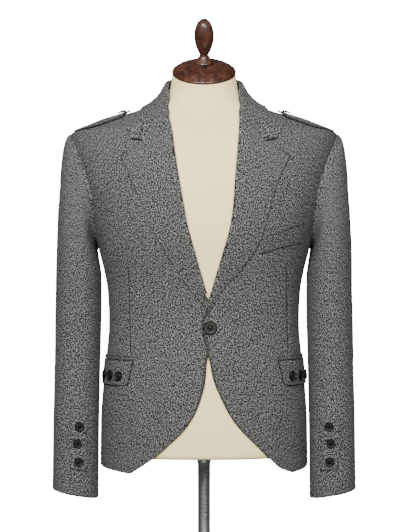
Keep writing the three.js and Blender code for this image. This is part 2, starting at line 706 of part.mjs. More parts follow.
// Top of the shoulder strap at a distance from the middle and from front (-1) to back (1)
function strapPoint(side, x, across, out) {
  const run = (STRAP.out - x) / (STRAP.out - STRAP.tip);
  const toTip = (x - STRAP.tip) / STRAP.point;
  const grown = smooth(run, 0, 0.35);
  const half = (STRAP.half + STRAP.wider * grown) * Math.min(1, 0.12 + 0.88 * toTip);
  const curved = x - (4 - 10 * Math.min(0, across)) * across * across * (1 - smooth(run, 0, 0.3));
  const p = shoulderPoint(side * curved, STRAP.middle - 3 * grown + half * across);
  return moved(p, normalAt(p), out + STRAP.raised * smooth(run, 0.75, 1));
}

function makeStrap(side, name) {
  const count = 12;
  const layer = (out) =>
    Array.from({ length: count + 1 }, (_, i) => {
      const x = i < count - 2 ? mix(STRAP.out, STRAP.tip + STRAP.point, i / (count - 2))
        : STRAP.tip + (STRAP.point * (count - i)) / 2;
      return [-1, -0.5, 0, 0.5, 1].map((across) => strapPoint(side, x, across, out));
    });
  const upper = layer(LIE + STRAP.cloth);
  const lower = layer(LIE);
  // Its outer end is pressed thin, where it is caught in the sleeve's seam
  const pressed = upper.map((row, i) =>
    row.map((p, j) => p.clone().lerp(lower[i][j], 0.45 * (1 - smooth(i / count, 0, 0.25)))),
  );
  add(name, wall(pressed, lower), TWEED);
}

// A turned piece from a profile of radius and height, with its axis moved on to a place and direction
function turned(name, profile, segments, point, direction, finish) {
  const points = profile.map(([radius, height]) => new THREE.Vector2(radius, height));
  const geometry = new THREE.LatheGeometry(points, segments).rotateX(Math.PI / 2);
  const aim = new THREE.Quaternion().setFromUnitVectors(new THREE.Vector3(0, 0, 1), direction);
  geometry.applyQuaternion(aim).translate(point.x, point.y, point.z);
  add(name, geometry, finish);
}

// A button with a raised rim round a shallow dish, with a low dome in it
function makeButton(name, radius, point, direction) {
  const profile = [
    [0, 0],
    [radius * 0.85, 0],
    [radius, 1.3],
    [radius * 0.9, BUTTON_TALL],
    [radius * 0.68, BUTTON_TALL * 0.72],
    [0, BUTTON_TALL],
  ];
  turned(name, profile, 12, moved(point, direction, SEAM), direction, HORN);
}

function makeForm() {
  const segments = 28;
  const skirt = [200, 240, 290, 335, 365, 390, 410, 430, 455, 480, 510, 545];
  const rings = [...skirt, 590, 650, 695, 728, 746, 757, 769, 780, 790, 798];
  const inset = (z) => CLOTH + mix(FORM_GAP, NECK_GAP, smooth(z, 775, 812));
  const at = (k, z) => {
    const turn = (360 * k) / segments;
    const half = turn > 180 ? turn - 360 : turn;
    const side = Math.abs(half) <= 90 ? 1 : -1;
    const own = side > 0 ? half : Math.sign(half) * (180 - Math.abs(half));
    const p = bodyPoint(side, own, z);
    return moved(p, normalAt(p), -inset(z));
  };
  const slant = (y) => NECK_TOP.z + (y - NECK_TOP.y) * Math.tan(NECK_TILT);
  const neckTop = (k) => {
    let z = NECK_TOP.z;
    for (let i = 0; i < 12; i += 1) z = slant(at(k, z).y);
    return z;
  };
  const grid = [];
  const around = Array.from({ length: segments }, (_, k) => k);
  const bottom = around.map((k) => at(k, 200));
  grid.push(bottom.map((p) => new THREE.Vector3(p.x * 0.93, p.y * 0.92, FORM_BOTTOM)));
  grid.push(bottom.map((p) => new THREE.Vector3(p.x * 0.985, p.y * 0.98, FORM_BOTTOM + 3)));
  rings.forEach((z) => grid.push(around.map((k) => at(k, z))));
  [0.15, 0.4, 0.7].forEach((share) =>
    grid.push(around.map((k) => at(k, mix(NECK_ROOT, neckTop(k), share)))),
  );
  grid.push(
    around.map((k) => {
      const p = at(k, neckTop(k));
      p.z = slant(p.y);
      return p;
    }),
  );
  const spots = grid.flat();
  const faces = [];
  for (let i = 0; i < grid.length - 1; i += 1) {
    around.forEach((k) => {
      const a = i * segments + k;
      const b = i * segments + ((k + 1) % segments);
      faces.push(a, b, b + segments, a, b + segments, a + segments);
    });
  }
  spots.push(new THREE.Vector3(0, 0, FORM_BOTTOM), new THREE.Vector3(0, NECK_TOP.y, NECK_TOP.z));
  const end = (grid.length - 1) * segments;
  around.forEach((k) => {
    faces.push(spots.length - 2, (k + 1) % segments, k);
    faces.push(spots.length - 1, end + k, end + ((k + 1) % segments));
  });
  add("form_body", pointsGeometry(spots, faces), CREAM);
}

function makeStand() {
  const up = new THREE.Vector3(0, 0, 1);
  const lean = new THREE.Vector3(0, -Math.sin(NECK_TILT), Math.cos(NECK_TILT));
  const neck = new THREE.Vector3(0, NECK_TOP.y, NECK_TOP.z);
  const r = NECK_TOP.radius;
  const cap = [
    [0, SEAM],
    [r - 1.5, SEAM],
    [r, 2],
    [r, 4.5],
    [r - 2, 6.5],
    [r * 0.86, 10.5],
    [r * 0.62, 15.5],
    [r * 0.34, 19],
    [0, 20],
  ];
  turned("neck_cap", cap, 24, neck, lean, WOOD);
  const finial = [
    [0, 0],
    [15.3, 0],
    [14.8, 4.5],
    [11.4, 9.5],
    [8.6, 14.5],
    [7.8, 18],
    [8.6, 21.5],
    [13.4, 32],
    [15.4, 39.5],
    [16.5, 48.5],
    [16.3, 57.5],
    [15, 65.5],
    [12.4, 73],
    [8.6, 78.6],
    [0, 83.2],
  ];
  turned("finial", finial, 16, moved(neck, lean, 20 + SEAM), lean, WOOD);
  const pole = [
    [0, BASE_TALL + SEAM],
    [26, BASE_TALL + SEAM],
    [26, BASE_TALL + 3],
    [POLE_RADIUS + 2, BASE_TALL + 9],
    [POLE_RADIUS, BASE_TALL + 14],
    [POLE_RADIUS, FORM_BOTTOM - 12],
    [34, FORM_BOTTOM - 5],
    [34, FORM_BOTTOM - SEAM],
    [0, FORM_BOTTOM - SEAM],
  ];
  turned("stand_pole", pole, 16, new THREE.Vector3(), up, STEEL);
  const plate = [
    [0, 0],
    [BASE_RADIUS - 1, 0],
    [BASE_RADIUS, 1],
    [BASE_RADIUS, 6],
    [BASE_RADIUS - 4, 8.5],
    [40, BASE_TALL],
    [0, BASE_TALL],
  ];
  turned("stand_base", plate, 36, new THREE.Vector3(), up, STEEL);
}

const sides = [
  { side: 1, word: "left" },
  { side: -1, word: "right" },
];

sides.forEach(({ side, word }) => {
  makeFront(side, "front_" + word);
  makeBack(side, "back_" + word);
  makeLapel(side, "lapel_" + word);
  makeSleeve(side, "sleeve_" + word);
  makeTab(side, "cuff_tab_" + word);
  makeStrap(side, "shoulder_strap_" + word);
  makeFlap(side, "pocket_flap_" + word, FLAP_TURNS[word]);
  makeJet(side, "pocket_jet_" + word, FLAP_TURNS[word]);
  FLAP_TURNS[word].buttons.forEach((turn, i) => {
    const spot = frontPoint(side, turn, FLAP_BUTTON_Z, LIE + FLAP.cloth);
    makeButton("flap_button_" + word + "_" + (i + 1), BUTTON.flap, spot, normalAt(spot));
  });
  CUFF_BUTTONS.forEach(({ x, z }, i) => {
    const spot = cuffSpot(side, x, z, LIE + TAB.cloth);
    makeButton("cuff_button_" + word + "_" + (i + 1), BUTTON.cuff, spot.point, spot.normal);
  });
  const onStrap = strapPoint(side, STRAP_BUTTON_X, 0, LIE + STRAP.cloth);
  const strapUp = normalAt(onStrap);
  makeButton("strap_button_" + word, BUTTON.strap, moved(onStrap, strapUp, 0.6), strapUp);
});
makeWelt();
makeCollar();
const middle = frontAt(1, 10, 411, 0);
makeButton("front_button", BUTTON.front, middle, normalAt(middle));
makeForm();
makeStand();

export default jacketOnForm;
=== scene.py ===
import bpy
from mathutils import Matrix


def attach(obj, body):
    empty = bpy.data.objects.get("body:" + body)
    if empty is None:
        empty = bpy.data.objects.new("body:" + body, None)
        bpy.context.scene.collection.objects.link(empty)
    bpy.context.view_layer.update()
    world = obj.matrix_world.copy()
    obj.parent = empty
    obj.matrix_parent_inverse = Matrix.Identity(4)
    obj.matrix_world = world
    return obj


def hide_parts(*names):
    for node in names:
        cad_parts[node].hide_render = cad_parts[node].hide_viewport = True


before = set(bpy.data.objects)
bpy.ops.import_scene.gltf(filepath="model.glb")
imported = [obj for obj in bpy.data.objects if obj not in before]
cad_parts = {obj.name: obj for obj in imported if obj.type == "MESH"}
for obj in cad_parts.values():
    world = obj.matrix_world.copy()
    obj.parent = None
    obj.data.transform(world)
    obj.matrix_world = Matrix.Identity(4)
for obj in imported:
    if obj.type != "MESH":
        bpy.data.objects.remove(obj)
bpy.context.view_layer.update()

import math
from bisect import bisect_right

import bpy
from mathutils import Matrix, Vector, noise

bl_info = {
    "name": "Tweed jacket on a dress form",
    "version": (1, 0, 0),
    "blender": (4, 5, 0),
    "location": "3D view > Sidebar > Jacket",
    "description": "Makes a tweed jacket, its dress form and a plain studio round them",
    "category": "Object",
}

# Lengths are in millimetres, +Z up, front towards -Y, the wearer's left at +X
MM = 0.001


def table(names, rows):
    """Rows of a short table, each with its values under the columns' names."""
    return [dict(zip(names.split(), row)) for row in rows]


SEAM = 0.3
LIE = 0.5
HEM = 173.0
FRONT_HEM = 163.0
HEM_DIP = 10.0
ARMHOLE_BOTTOM = 548.0
SHOULDER = 746.0
GORGE = 767.5
SIDE_SEAM = -8.0
SHOULDER_SEAM = -4.0
FRONT_SWELL = 29.0
BACK_SWELL = 18.0

# Sections of the jacket's outside: half width, depth forwards, depth backwards, squareness
BODY = table(
    "z wide front back round",
    [
        (150, 181, 118, 127, 2.3),
        (240, 180.3, 120, 130, 2.3),
        (302, 176.5, 119, 127, 2.3),
        (341, 172.5, 116, 120, 2.3),
        (370, 169.5, 112, 114, 2.3),
        (400, 166.5, 109, 107, 2.3),
        (424, 166, 108, 105, 2.3),
        (475, 168.5, 113, 107, 2.3),
        (505, 174, 119, 111, 2.3),
        (540, 183, 127, 115, 2.3),
        (560, 187.5, 131, 118, 2.3),
        (600, 197, 134, 121, 2.3),
        (650, 211, 131, 123, 2.3),
        (700, 224, 119, 124, 2.25),
        (735, 231, 101, 119, 2.2),
        (746, 232, 93, 114, 2.2),
        (757, 205, 85, 108, 2.15),
        (769, 174, 75, 100, 2.15),
        (782, 130, 66, 92, 2.1),
        (790, 106, 62, 87, 2.1),
        (802, 79.5, 60, 79, 2.05),
        (812, 70, 60, 73, 2.05),
        (825, 65, 61, 64, 2.0),
        (840, 62.5, 62.5, 57, 2.0),
        (860, 61, 64.5, 51, 2.0),
        (890, 61, 66, 47, 2.0),
    ],
)

# Visible edge of each front, from the middle towards its own side
FRONT_EDGE = table(
    "z left right",
    [
        (163, 151, 125.5),
        (172, 130, 112),
        (192, 108.7, 84),
        (216, 85, 57.5),
        (238, 63, 34.7),
        (262, 44.5, 18),
        (290, 29.5, 6),
        (322, 16, -2),
        (356, 8.4, -5),
        (385, 2, -17),
        (410, -4, -22),
        (434, -1, -18),
        (464, 8.4, -7),
        (503, 20.7, 4.7),
        (538, 31, 14.6),
        (582, 43, 26.7),
        (621, 48.3, 34),
        (656, 50.5, 40.4),
        (709, 55, 48.6),
        (742, 57.5, 53),
        (767.5, 58.5, 58.5),
    ],
)

# Outer edge of each lapel, from its lower end to its tip
LAPEL_EDGE = table(
    "at leftX leftZ rightX rightZ",
    [
        (0, 9, 438, 7, 461),
        (0.1, 30, 475, 25, 478),
        (0.22, 61, 509, 44, 506),
        (0.34, 84, 541, 67, 541),
        (0.46, 98, 570, 84, 572),
        (0.6, 109, 612, 101, 611),
        (0.78, 124, 658, 119, 652),
        (1, 145, 701.7, 141, 701.7),
    ],
)
LAPEL_START = {1: 441.0, -1: 468.0}
# How far the lower end of each lapel droops, inwards and down
LAPEL_SAG = {1: (3.5, 6.5), -1: (7.5, 13.5)}
NOTCH = (103.0, 725.0)
NOTCH_SHARE = 0.6
LAPEL_FULL = 65.0

# Seam, fold and outer edge of the collar, from the gorge to the middle of the back
COLLAR = table(
    "at seamTurn seamZ foldTurn foldZ edgeTurn edgeZ",
    [
        (0, 71.4, 767.5, 72.2, 768.3, 60.2, 728.6),
        (0.1, 66.2, 775, 64, 780, 57, 750.5),
        (0.2, 54.5, 787, 52, 791.5, 51, 767),
        (0.32, 38.5, 795, 36, 804, 37, 780),
        (0.45, 18.7, 800, 17, 820, 20, 787.5),
        (0.58, -4, 802.5, -4, 834, 0, 791),
        (0.7, -28, 805, -28, 840, -28, 792.5),
        (0.85, -59, 808, -59, 843, -59, 795.5),
        (1, -90, 810, -90, 844, -90, 798),
    ],
)
COLLAR_FRONT_TO = 0.545
COLLAR_BACK_FROM = 0.58
BACK_TOP = 802.5
GORGE_LIFT = 0.3
COLLAR_NOTCH = 0.72
COLLAR_SAG = 5.0

# Sections of a hanging sleeve: height, tilt, inner and outer reach, middle, half depth
SLEEVE = table(
    "z tilt inner outer middle deep",
    [
        (123, 8, 183, 262.5, -26, 46.5),
        (228, 6, 182.6, 262, -17, 51),
        (340, 5, 181.2, 260.5, -7, 57),
        (455, 14, 179.2, 259, 0, 66),
        (530, 30, 179.5, 257.5, 4, 74),
    ],
)
SLEEVE_SQUARE = 2.25
SLEEVE_TOP = 530.0
SLEEVE_END = 123.0

FLAP = {"top": 355.0, "bottom": 311.5, "slant": 3.2, "cloth": 2.2}
FLAP_TURNS = {
    1: {"front": 46.2, "back": -3.0, "buttons": [34.2, 22.8, 11.2]},
    -1: {"front": 49.0, "back": -1.0, "buttons": [37.0, 26.2, 15.0]},
}
FLAP_BUTTON_Z = 327.5
JET = {"bottom": 355.9, "top": 361.5, "longer": 1.5, "cloth": 1.8}
WELT = table(
    "at lowX lowZ highX highZ",
    [
        (0, 93.5, 536.5, 101.5, 563.5),
        (1, 163.5, 556, 167.5, 588),
    ],
)
TAB = {"x": 214.5, "half": 13.5, "bottom": 168.0, "top": 262.0, "bulge": 5.0, "cloth": 2.0}
CUFF_BUTTONS = [(213.5, 242.0), (216.5, 213.0), (214.5, 182.0)]
STRAP = {"out": 226.5, "tip": 127.0, "middle": -15.0, "half": 23.0, "wider": 6.0}
STRAP.update({"point": 14.0, "cloth": 3.0, "raised": 1.6})
STRAP_BUTTON_X = 141.0
BUTTON_RADIUS = {"front": 11.5, "flap": 8.5, "cuff": 7.8, "strap": 7.5}
BUTTON_TALL = 3.4
FRONT_BUTTON = (10, 411)
FLUTES = 8
FLUTE_DEEP = 0.3

# Soft folds of a sleeve: angle round it and height of the middle, slant, half length, half width, depth
SLEEVE_FOLDS = table(
    "angle z slant long wide deep",
    [
        (62, 640, 0.75, 46, 9, 1.7),
        (38, 664, 0.6, 34, 7, -1.1),
        (120, 560, -0.55, 40, 10, 1.6),
        (105, 430, 0.35, 42, 9, 1.5),
        (80, 396, 0.5, 46, 10, 1.2),
        (128, 372, 0.2, 30, 8, 1.4),
        (-60, 470, -0.4, 48, 11, 1.6),
        (-100, 418, 0.25, 40, 10, 1.8),
        (-70, 372, 0.35, 44, 10, 1.3),
        (-120, 590, 0.7, 44, 10, 1.6),
    ],
)
# Soft folds of a front: place of the middle, slant, half length, half width, depth
FRONT_FOLDS = table(
    "x z slant long wide deep",
    [
        (58, 432, 0.42, 38, 7, 1.0),
        (66, 398, -0.22, 42, 8, 0.9),
        (104, 452, 0.7, 40, 9, 0.8),
        (150, 610, 1.6, 40, 9, 1.0),
        (118, 262, 3.5, 60, 16, 1.2),
        (66, 292, 2.4, 46, 14, 0.9),
    ],
)
# Soft folds of a back: turn and height of the middle, slant, half length, half width, depth
BACK_FOLDS = table(
    "turn z slant long wide deep",
    [
        (-52, 446, 0.25, 60, 10, 1.7),
        (-38, 404, -0.2, 52, 9, 1.4),
        (-68, 470, 0.12, 44, 9, 1.1),
        (-34, 640, 2.6, 70, 12, 1.6),
        (-60, 250, 6, 70, 18, 1.5),
    ],
)

NECK_TILT = math.radians(28)
NECK_TOP = Vector((0, -7, 851))
NECK_RADIUS = 56.0
FORM_BOTTOM = 188.0
BASE_TALL = 12.0
CAP_TALL = 20


def smooth(x, low, high):
    t = min(1.0, max(0.0, (x - low) / (high - low)))
    return t * t * (3 - 2 * t)


def mix(a, b, t):
    return a + (b - a) * t


def steps(low, high, count):
    return [mix(low, high, i / count) for i in range(count + 1)]


def signed_power(value, power):
    return math.copysign(abs(value) ** power, value)


def column(rows, key, value):
    """A smooth curve through one column of a table, which never swings past its rows."""
    xs = [float(row[key]) for row in rows]
    ys = [float(row[value]) for row in rows]
    rise = [(ys[i + 1] - ys[i]) / (xs[i + 1] - xs[i]) for i in range(len(xs) - 1)]
    slope = [rise[0]]
    for before, after in zip(rise, rise[1:]):
        slope.append(0.0 if before * after <= 0 else 2 * before * after / (before + after))
    slope.append(rise[-1])

    def read(at):
        i = min(max(bisect_right(xs, at) - 1, 0), len(xs) - 2)
        wide = xs[i + 1] - xs[i]
        t = min(1.0, max(0.0, (at - xs[i]) / wide))
        up = t * t * (3 - 2 * t)
        early = t * (1 - t) * (1 - t) * wide
        late = t * t * (t - 1) * wide
        return ys[i] * (1 - up) + ys[i + 1] * up + slope[i] * early + slope[i + 1] * late

    return read


body_wide = column(BODY, "z", "wide")
body_front = column(BODY, "z", "front")
body_back = column(BODY, "z", "back")
body_round = column(BODY, "z", "round")
seam_turn = column(COLLAR, "at", "seamTurn")
seam_z = column(COLLAR, "at", "seamZ")
fold_turn = column(COLLAR, "at", "foldTurn")
fold_z = column(COLLAR, "at", "foldZ")
leaf_turn = column(COLLAR, "at", "edgeTurn")
leaf_z = column(COLLAR, "at", "edgeZ")
front_edge = {1: column(FRONT_EDGE, "z", "left"), -1: column(FRONT_EDGE, "z", "right")}
sleeve_tilt = column(SLEEVE, "z", "tilt")
sleeve_inner = column(SLEEVE, "z", "inner")
sleeve_outer = column(SLEEVE, "z", "outer")
sleeve_middle = column(SLEEVE, "z", "middle")
sleeve_deep = column(SLEEVE, "z", "deep")


def body_ratio(x, y, z):
    """How far a place lies outside the jacket's outside, as a ratio that is 0 on it."""
    n = body_round(z)
    deep = body_front(z) if y < 0 else body_back(z)
    return (abs(x) / body_wide(z)) ** n + (abs(y) / deep) ** n - 1


def body_slope(p):
    n = body_round(p.z)
    wide = body_wide(p.z)
    deep = body_front(p.z) if p.y < 0 else body_back(p.z)
    across = math.copysign(n * (abs(p.x) / wide) ** (n - 1) / wide, p.x)
    along = math.copysign(n * (abs(p.y) / deep) ** (n - 1) / deep, p.y)
    up = (body_ratio(p.x, p.y, p.z + 0.05) - body_ratio(p.x, p.y, p.z - 0.05)) / 0.1
    return Vector((across, along, up))


def body_normal(p):
    return body_slope(p).normalized()


def clear_of(p, gap):
    """Moves a place out until it lies at least so far from the jacket's outside."""
    out = p.copy()
    for _ in range(4):
        slope = body_slope(out)
        short = gap - body_ratio(*out) / slope.length
        if short > 0:
            out += slope.normalized() * short
    return out


def body_point(side, turn, z):
    power = 2 / body_round(z)
    angle = math.radians(turn)
    deep = -body_front(z) if turn >= 0 else body_back(z)
    across = side * body_wide(z) * signed_power(math.cos(angle), power)
    return Vector((across, deep * abs(math.sin(angle)) ** power, z))


def turn_at(x, z):
    share = min(1.0, max(-1.0, x / body_wide(z)))
    return math.degrees(math.acos(signed_power(share, body_round(z) / 2)))


def fold_height(folds, key, across, z, stretch=1.0):
    """Height of soft folds, each a long low ridge with a slanting crest."""
    high = 0.0
    for fold in folds:
        run = (across - fold[key]) * stretch
        rise = z - fold["z"]
        length = math.hypot(1, fold["slant"])
        along = (run + rise * fold["slant"]) / length
        off = (rise - run * fold["slant"]) / length
        if abs(along) < 2.2 * fold["long"] and abs(off) < 3 * fold["wide"]:
            crest = math.exp(-((off / fold["wide"]) ** 2)) - 0.35 * math.exp(-((off / fold["wide"] - 1.6) ** 2))
            high += fold["deep"] * crest * math.exp(-((along / fold["long"]) ** 2))
    return high


# Line of the waist dart of each front: place at its upper and lower end
DART = {1: (140.0, 144.0), -1: (129.0, 125.0)}
DART_TOP = 535.0
DART_END = 361.0
# Columns of a front that lie close together at its dart, in mm from the dart's line, and how many lie behind them
DART_COLUMNS = [-3.6, -2.1, -1.2, -0.5, 0.0, 0.5, 1.2, 2.1, 3.6]
DART_AFTER = 22


def dart_taper(z):
    return smooth(z, DART_END - 6, DART_END + 14) * (1 - smooth(z, DART_TOP - 40, DART_TOP + 8))


def dart_line(side, z):
    return mix(*DART[side], (DART_TOP - z) / (DART_TOP - DART_END))


def dart_height(side, x, z):
    """A pressed dart: a narrow groove between two low swellings."""
    if z > DART_TOP + 12 or z < DART_END - 6:
        return 0.0
    off = x - dart_line(side, z)
    return dart_taper(z) * (0.55 * math.exp(-((off / 9) ** 2)) - 1.15 * math.exp(-((off / 1.3) ** 2)))


def dart_share(side, z):
    """Where the dart's line crosses a row of the front, as a share of its width, and that width."""
    z = min(max(z, 200.0), 560.0)
    seam = outer_turn(1, z) + seam_share(z)
    edge = turn_at(panel_edge(side, z), z)
    wide = (body_wide(z) - panel_edge(side, z)) * 1.15
    return (turn_at(dart_line(side, z), z) - seam) / (edge - seam), wide


def overlap_lift(side, x, z, overlap):
    if side < 0:
        return 0.0
    return overlap * (1 - smooth(x, 32, 75)) * smooth(z, 325, 358) * (1 - smooth(z, 458, 500))


class Cut:
    """Sizes that several pieces share, read from the panel's properties."""

    cloth = 2.6
    roll = 3.0
    edge = 0.9

    @classmethod
    def read(cls):
        sizes = jacket_sizes()
        cls.cloth, cls.roll, cls.edge = sizes.cloth / MM, sizes.roll / MM, sizes.edge / MM

    @classmethod
    def overlap(cls):
        return cls.cloth + 1.2

    @classmethod
    def settled(cls):
        return LIE + cls.cloth / 2

    @classmethod
    def collar_clear(cls):
        return cls.cloth / 2 + 1.6


def front_relief(side, x, z):
    quiet = 1 - smooth(z, 690, 740)
    drift = noise.noise(Vector((side * x / 55, z / 75, 3.1))) * 0.5
    quiet *= smooth(z, FRONT_HEM, FRONT_HEM + 27)
    return quiet * (fold_height(FRONT_FOLDS, "x", x, z) + drift) + dart_height(side, x, z)


def front_point(side, turn, z, out):
    p = body_point(side, turn, z)
    x = side * p.x
    raised = overlap_lift(side, x, z, Cut.overlap()) + front_relief(side, x, z)
    return p + body_normal(p) * (out + raised)


def front_at(side, x, z, out):
    return front_point(side, turn_at(x, z), z, out)


# The armhole: a closed line on the body
ARM_MIDDLE = (SHOULDER + ARMHOLE_BOTTOM) / 2
ARM_HALF = (SHOULDER - ARMHOLE_BOTTOM) / 2


def armhole_turn(angle):
    base = mix(SHOULDER_SEAM, SIDE_SEAM, (1 - math.cos(angle)) / 2)
    swell = FRONT_SWELL if math.sin(angle) >= 0 else BACK_SWELL
    return base + swell * math.sin(angle)


def armhole_z(angle):
    return ARM_MIDDLE + ARM_HALF * math.cos(angle)


def armhole_point(side, angle):
    return body_point(side, armhole_turn(angle), armhole_z(angle))


def outer_turn(hand, z):
    if z <= ARMHOLE_BOTTOM:
        return SIDE_SEAM
    if z >= SHOULDER:
        return SHOULDER_SEAM
    return armhole_turn(hand * math.acos((z - ARM_MIDDLE) / ARM_HALF))


def seam_share(z):
    return math.degrees(SEAM / 2 / body_wide(z)) * 1.6


def panel_edge(side, z):
    start = LAPEL_START[side]
    reach = Cut.roll + Cut.cloth / 2 + SEAM
    return front_edge[side](z) + reach * smooth(z, start - 12, start - 1)


def arm_heights(count):
    return [armhole_z(math.pi * (1 - k / count)) for k in range(count + 1)]


def roll_heights(side):
    return steps(LAPEL_START[side], ARMHOLE_BOTTOM, 22)[:-1] + arm_heights(44) + steps(SHOULDER, GORGE, 5)[1:]


# Grids of points become thin closed shells with rounded edges


def grid_normals(grid, hand, ring=False):
    end = len(grid) - 1
    side = len(grid[0]) - 1
    normals = []
    for i, row in enumerate(grid):
        line = []
        for j in range(len(row)):
            along = grid[min(i + 1, end)][j] - grid[max(i - 1, 0)][j]
            if ring:
                across = row[(j + 1) % len(row)] - row[j - 1]
            elif j == 0:
                across = row[1] * 4 - row[0] * 3 - row[2]
            else:
                across = row[min(j + 1, side)] - row[j - 1]
            line.append(along.cross(across).normalized() * hand)
        normals.append(line)
    return normals


def shifted(grid, normals, by):
    return [[p + n * by for p, n in zip(row, line)] for row, line in zip(grid, normals)]


def arc_lengths(points):
    run = [0.0]
    for a, b in zip(points, points[1:]):
        run.append(run[-1] + (b - a).length)
    return run


def ring_map(grid):
    """Distances along a tube of cloth, round from its first column either way and up from its last row."""
    columns = len(grid[0])
    heights = [arc_lengths([row[j] for row in reversed(grid)])[::-1] for j in range(columns)]
    rows = []
    for i, row in enumerate(grid):
        run = arc_lengths(row + [row[0]])
        round_it = [run[j] if j <= columns // 2 else run[j] - run[-1] for j in range(columns)]
        rows.append([(round_it[j], heights[j][i]) for j in range(columns)])
    return rows


def grid_map(grid):
    """Distances along the cloth, across from the middle column and up from the first row."""
    up = arc_lengths([row[len(row) // 2] for row in grid])
    rows = []
    for row, high in zip(grid, up):
        run = arc_lengths(row)
        rows.append([(distance - run[-1] / 2, high) for distance in run])
    return rows


def border(rows, columns, ring):
    """The places along the edge of a grid, as closed loops of row and column."""
    if ring:
        return [[(0, j) for j in range(columns)], [(rows - 1, j) for j in reversed(range(columns))]]
    loop = [(0, j) for j in range(columns - 1)]
    loop += [(i, columns - 1) for i in range(rows - 1)]
    loop += [(rows - 1, j) for j in range(columns - 1, 0, -1)]
    loop += [(i, 0) for i in range(rows - 1, 0, -1)]
    return [loop]


def outwards(grid, i, j, ring):
    """Direction away from the cloth at the edge of a grid, and how much room there is."""
    rows, columns = len(grid), len(grid[0])
    way = Vector()
    room = 1e9
    pairs = []
    if i == 0:
        pairs.append((1, j))
    if i == rows - 1:
        pairs.append((rows - 2, j))
    if not ring and j == 0:
        pairs.append((i, 1))
    if not ring and j == columns - 1:
        pairs.append((i, columns - 2))
    for a, b in pairs:
        step = grid[i][j] - grid[a][b]
        room = min(room, step.length)
        way += step.normalized() if step.length > 1e-6 else Vector()
    return way, room


def shell(name, outer, inner, material, ring=False, pressed=None, sharp=None):
    """A closed thin mesh between two grids, its free edges rounded, with a cloth map in metres.

    The places of the grid rated 0 to 1 are kept as an attribute, which the cloth's material darkens as painted shade:
    the dark lines along edges, in notch slits and in dart grooves.
    Sharp places are seams, where two pieces lie edge to edge and neither is rounded.
    """
    rows, columns = len(outer), len(outer[0])
    mapped = ring_map(outer) if ring else grid_map(outer)
    middle, centre = rows // 2, columns // 2
    across = outer[middle][centre + 1] - outer[middle][centre]
    up = outer[middle + 1][centre] - outer[middle][centre]
    if across.cross(up).dot(outer[middle][centre] - inner[middle][centre]) < 0:
        mapped = [[(-u, v) for u, v in line] for line in mapped]
    # press holds each point's rating of painted shade
    points, maps, faces, press = [], [], [], []

    def lay(grid):
        start = len(points)
        for i, (row, line) in enumerate(zip(grid, mapped)):
            points.extend(p.copy() for p in row)
            maps.extend(line)
            press.extend(pressed(i, j) if pressed else 0.0 for j in range(columns))
        return start

    first, second = lay(outer), lay(inner)
    span = columns if ring else columns - 1
    for i in range(rows - 1):
        for j in range(span):
            k = (j + 1) % columns
            a, b, c, d = i * columns + j, i * columns + k, (i + 1) * columns + k, (i + 1) * columns + j
            faces.append((first + a, first + b, first + c, first + d))
            faces.append((second + d, second + c, second + b, second + a))
    for loop in border(rows, columns, ring):
        rings = []
        for i, j in loop:
            out, ins = outer[i][j], inner[i][j]
            normal = (out - ins).normalized()
            thick = (out - ins).length
            way, room = outwards(outer, i, j, ring)
            radius = min(Cut.edge, 0.45 * room, 0.45 * thick)
            if sharp and sharp(i, j):
                radius = min(radius, 0.06)
            place = i * columns + j
            points[first + place] = out - way * radius
            points[second + place] = ins - way * radius
            u, v = mapped[i][j]
            rated = press[first + place]
            line = [first + place]
            arcs = [(out - way * radius - normal * radius, phi) for phi in (30, 60, 90)]
            arcs += [(ins - way * radius + normal * radius, phi) for phi in (90, 120, 150)]
            for n, (centre, phi) in enumerate(arcs):
                turn = math.radians(phi)
                line.append(len(points))
                points.append(centre + (normal * math.cos(turn) + way * math.sin(turn)) * radius)
                maps.append((u + 0.4 * (n + 1), v + 0.4 * (n + 1)))
                press.append(rated)
            line.append(second + place)
            rings.append(line)
        for here, there in zip(rings, rings[1:] + rings[:1]):
            for n in range(len(here) - 1):
                faces.append((here[n], here[n + 1], there[n + 1], there[n]))
    piece = mesh_piece(name, points, faces, material, maps)
    # The attribute named pressed carries the painted shade that the cloth's material lays along edges and grooves
    layer = piece.data.attributes.new("pressed", "FLOAT", "POINT")
    for value, rated in zip(layer.data, press):
        value.value = rated
    return piece


def mesh_piece(name, points, faces, material, maps=None):
    volume = 0.0
    for face in faces:
        a = points[face[0]]
        for b, c in zip(face[1:], face[2:]):
            volume += a.dot(points[b].cross(points[c]))
    if volume < 0:
        faces = [tuple(reversed(face)) for face in faces]
    mesh = bpy.data.meshes.new(name)
    mesh.from_pydata([p * MM for p in points], [], faces)
    mesh.update()
    if maps:
        layer = mesh.uv_layers.new(name="cloth")
        for loop in mesh.loops:
            u, v = maps[loop.vertex_index]
            layer.data[loop.index].uv = (u * MM, v * MM)
    mesh.materials.append(material)
    piece = bpy.data.objects.new(name, mesh)
    bpy.context.collection.objects.link(piece)
    for polygon in mesh.polygons:
        polygon.use_smooth = True
    return piece


def stand_for(piece, node):
    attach(piece, "root")
    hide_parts(node)


def declare_cloth(piece, node):
    """Sets a cloth piece in the place of the node it stands for.
    """
    stand_for(piece, node)


def side_word(side):
    return "left" if side > 0 else "right"


# Materials


def linear(hexa):
    """A colour given as an sRGB hex value, turned to linear."""
    parts = [int(hexa[i : i + 2], 16) / 255 for i in (1, 3, 5)]
    return [c / 12.92 if c <= 0.04045 else ((c + 0.055) / 1.055) ** 2.4 for c in parts] + [1.0]


def add_node(tree, kind, links=None, **settings):
    """Adds a node. Settings are its properties, or its inputs by name with _ for a space; links feed inputs."""
    made = tree.nodes.new(kind)
    for key, value in settings.items():
        if hasattr(made, key):
            setattr(made, key, value)
        else:
            made.inputs[key.replace("_", " ")].default_value = value
    for key, socket in (links or {}).items():
        tree.links.new(socket, made.inputs[key])
    return made


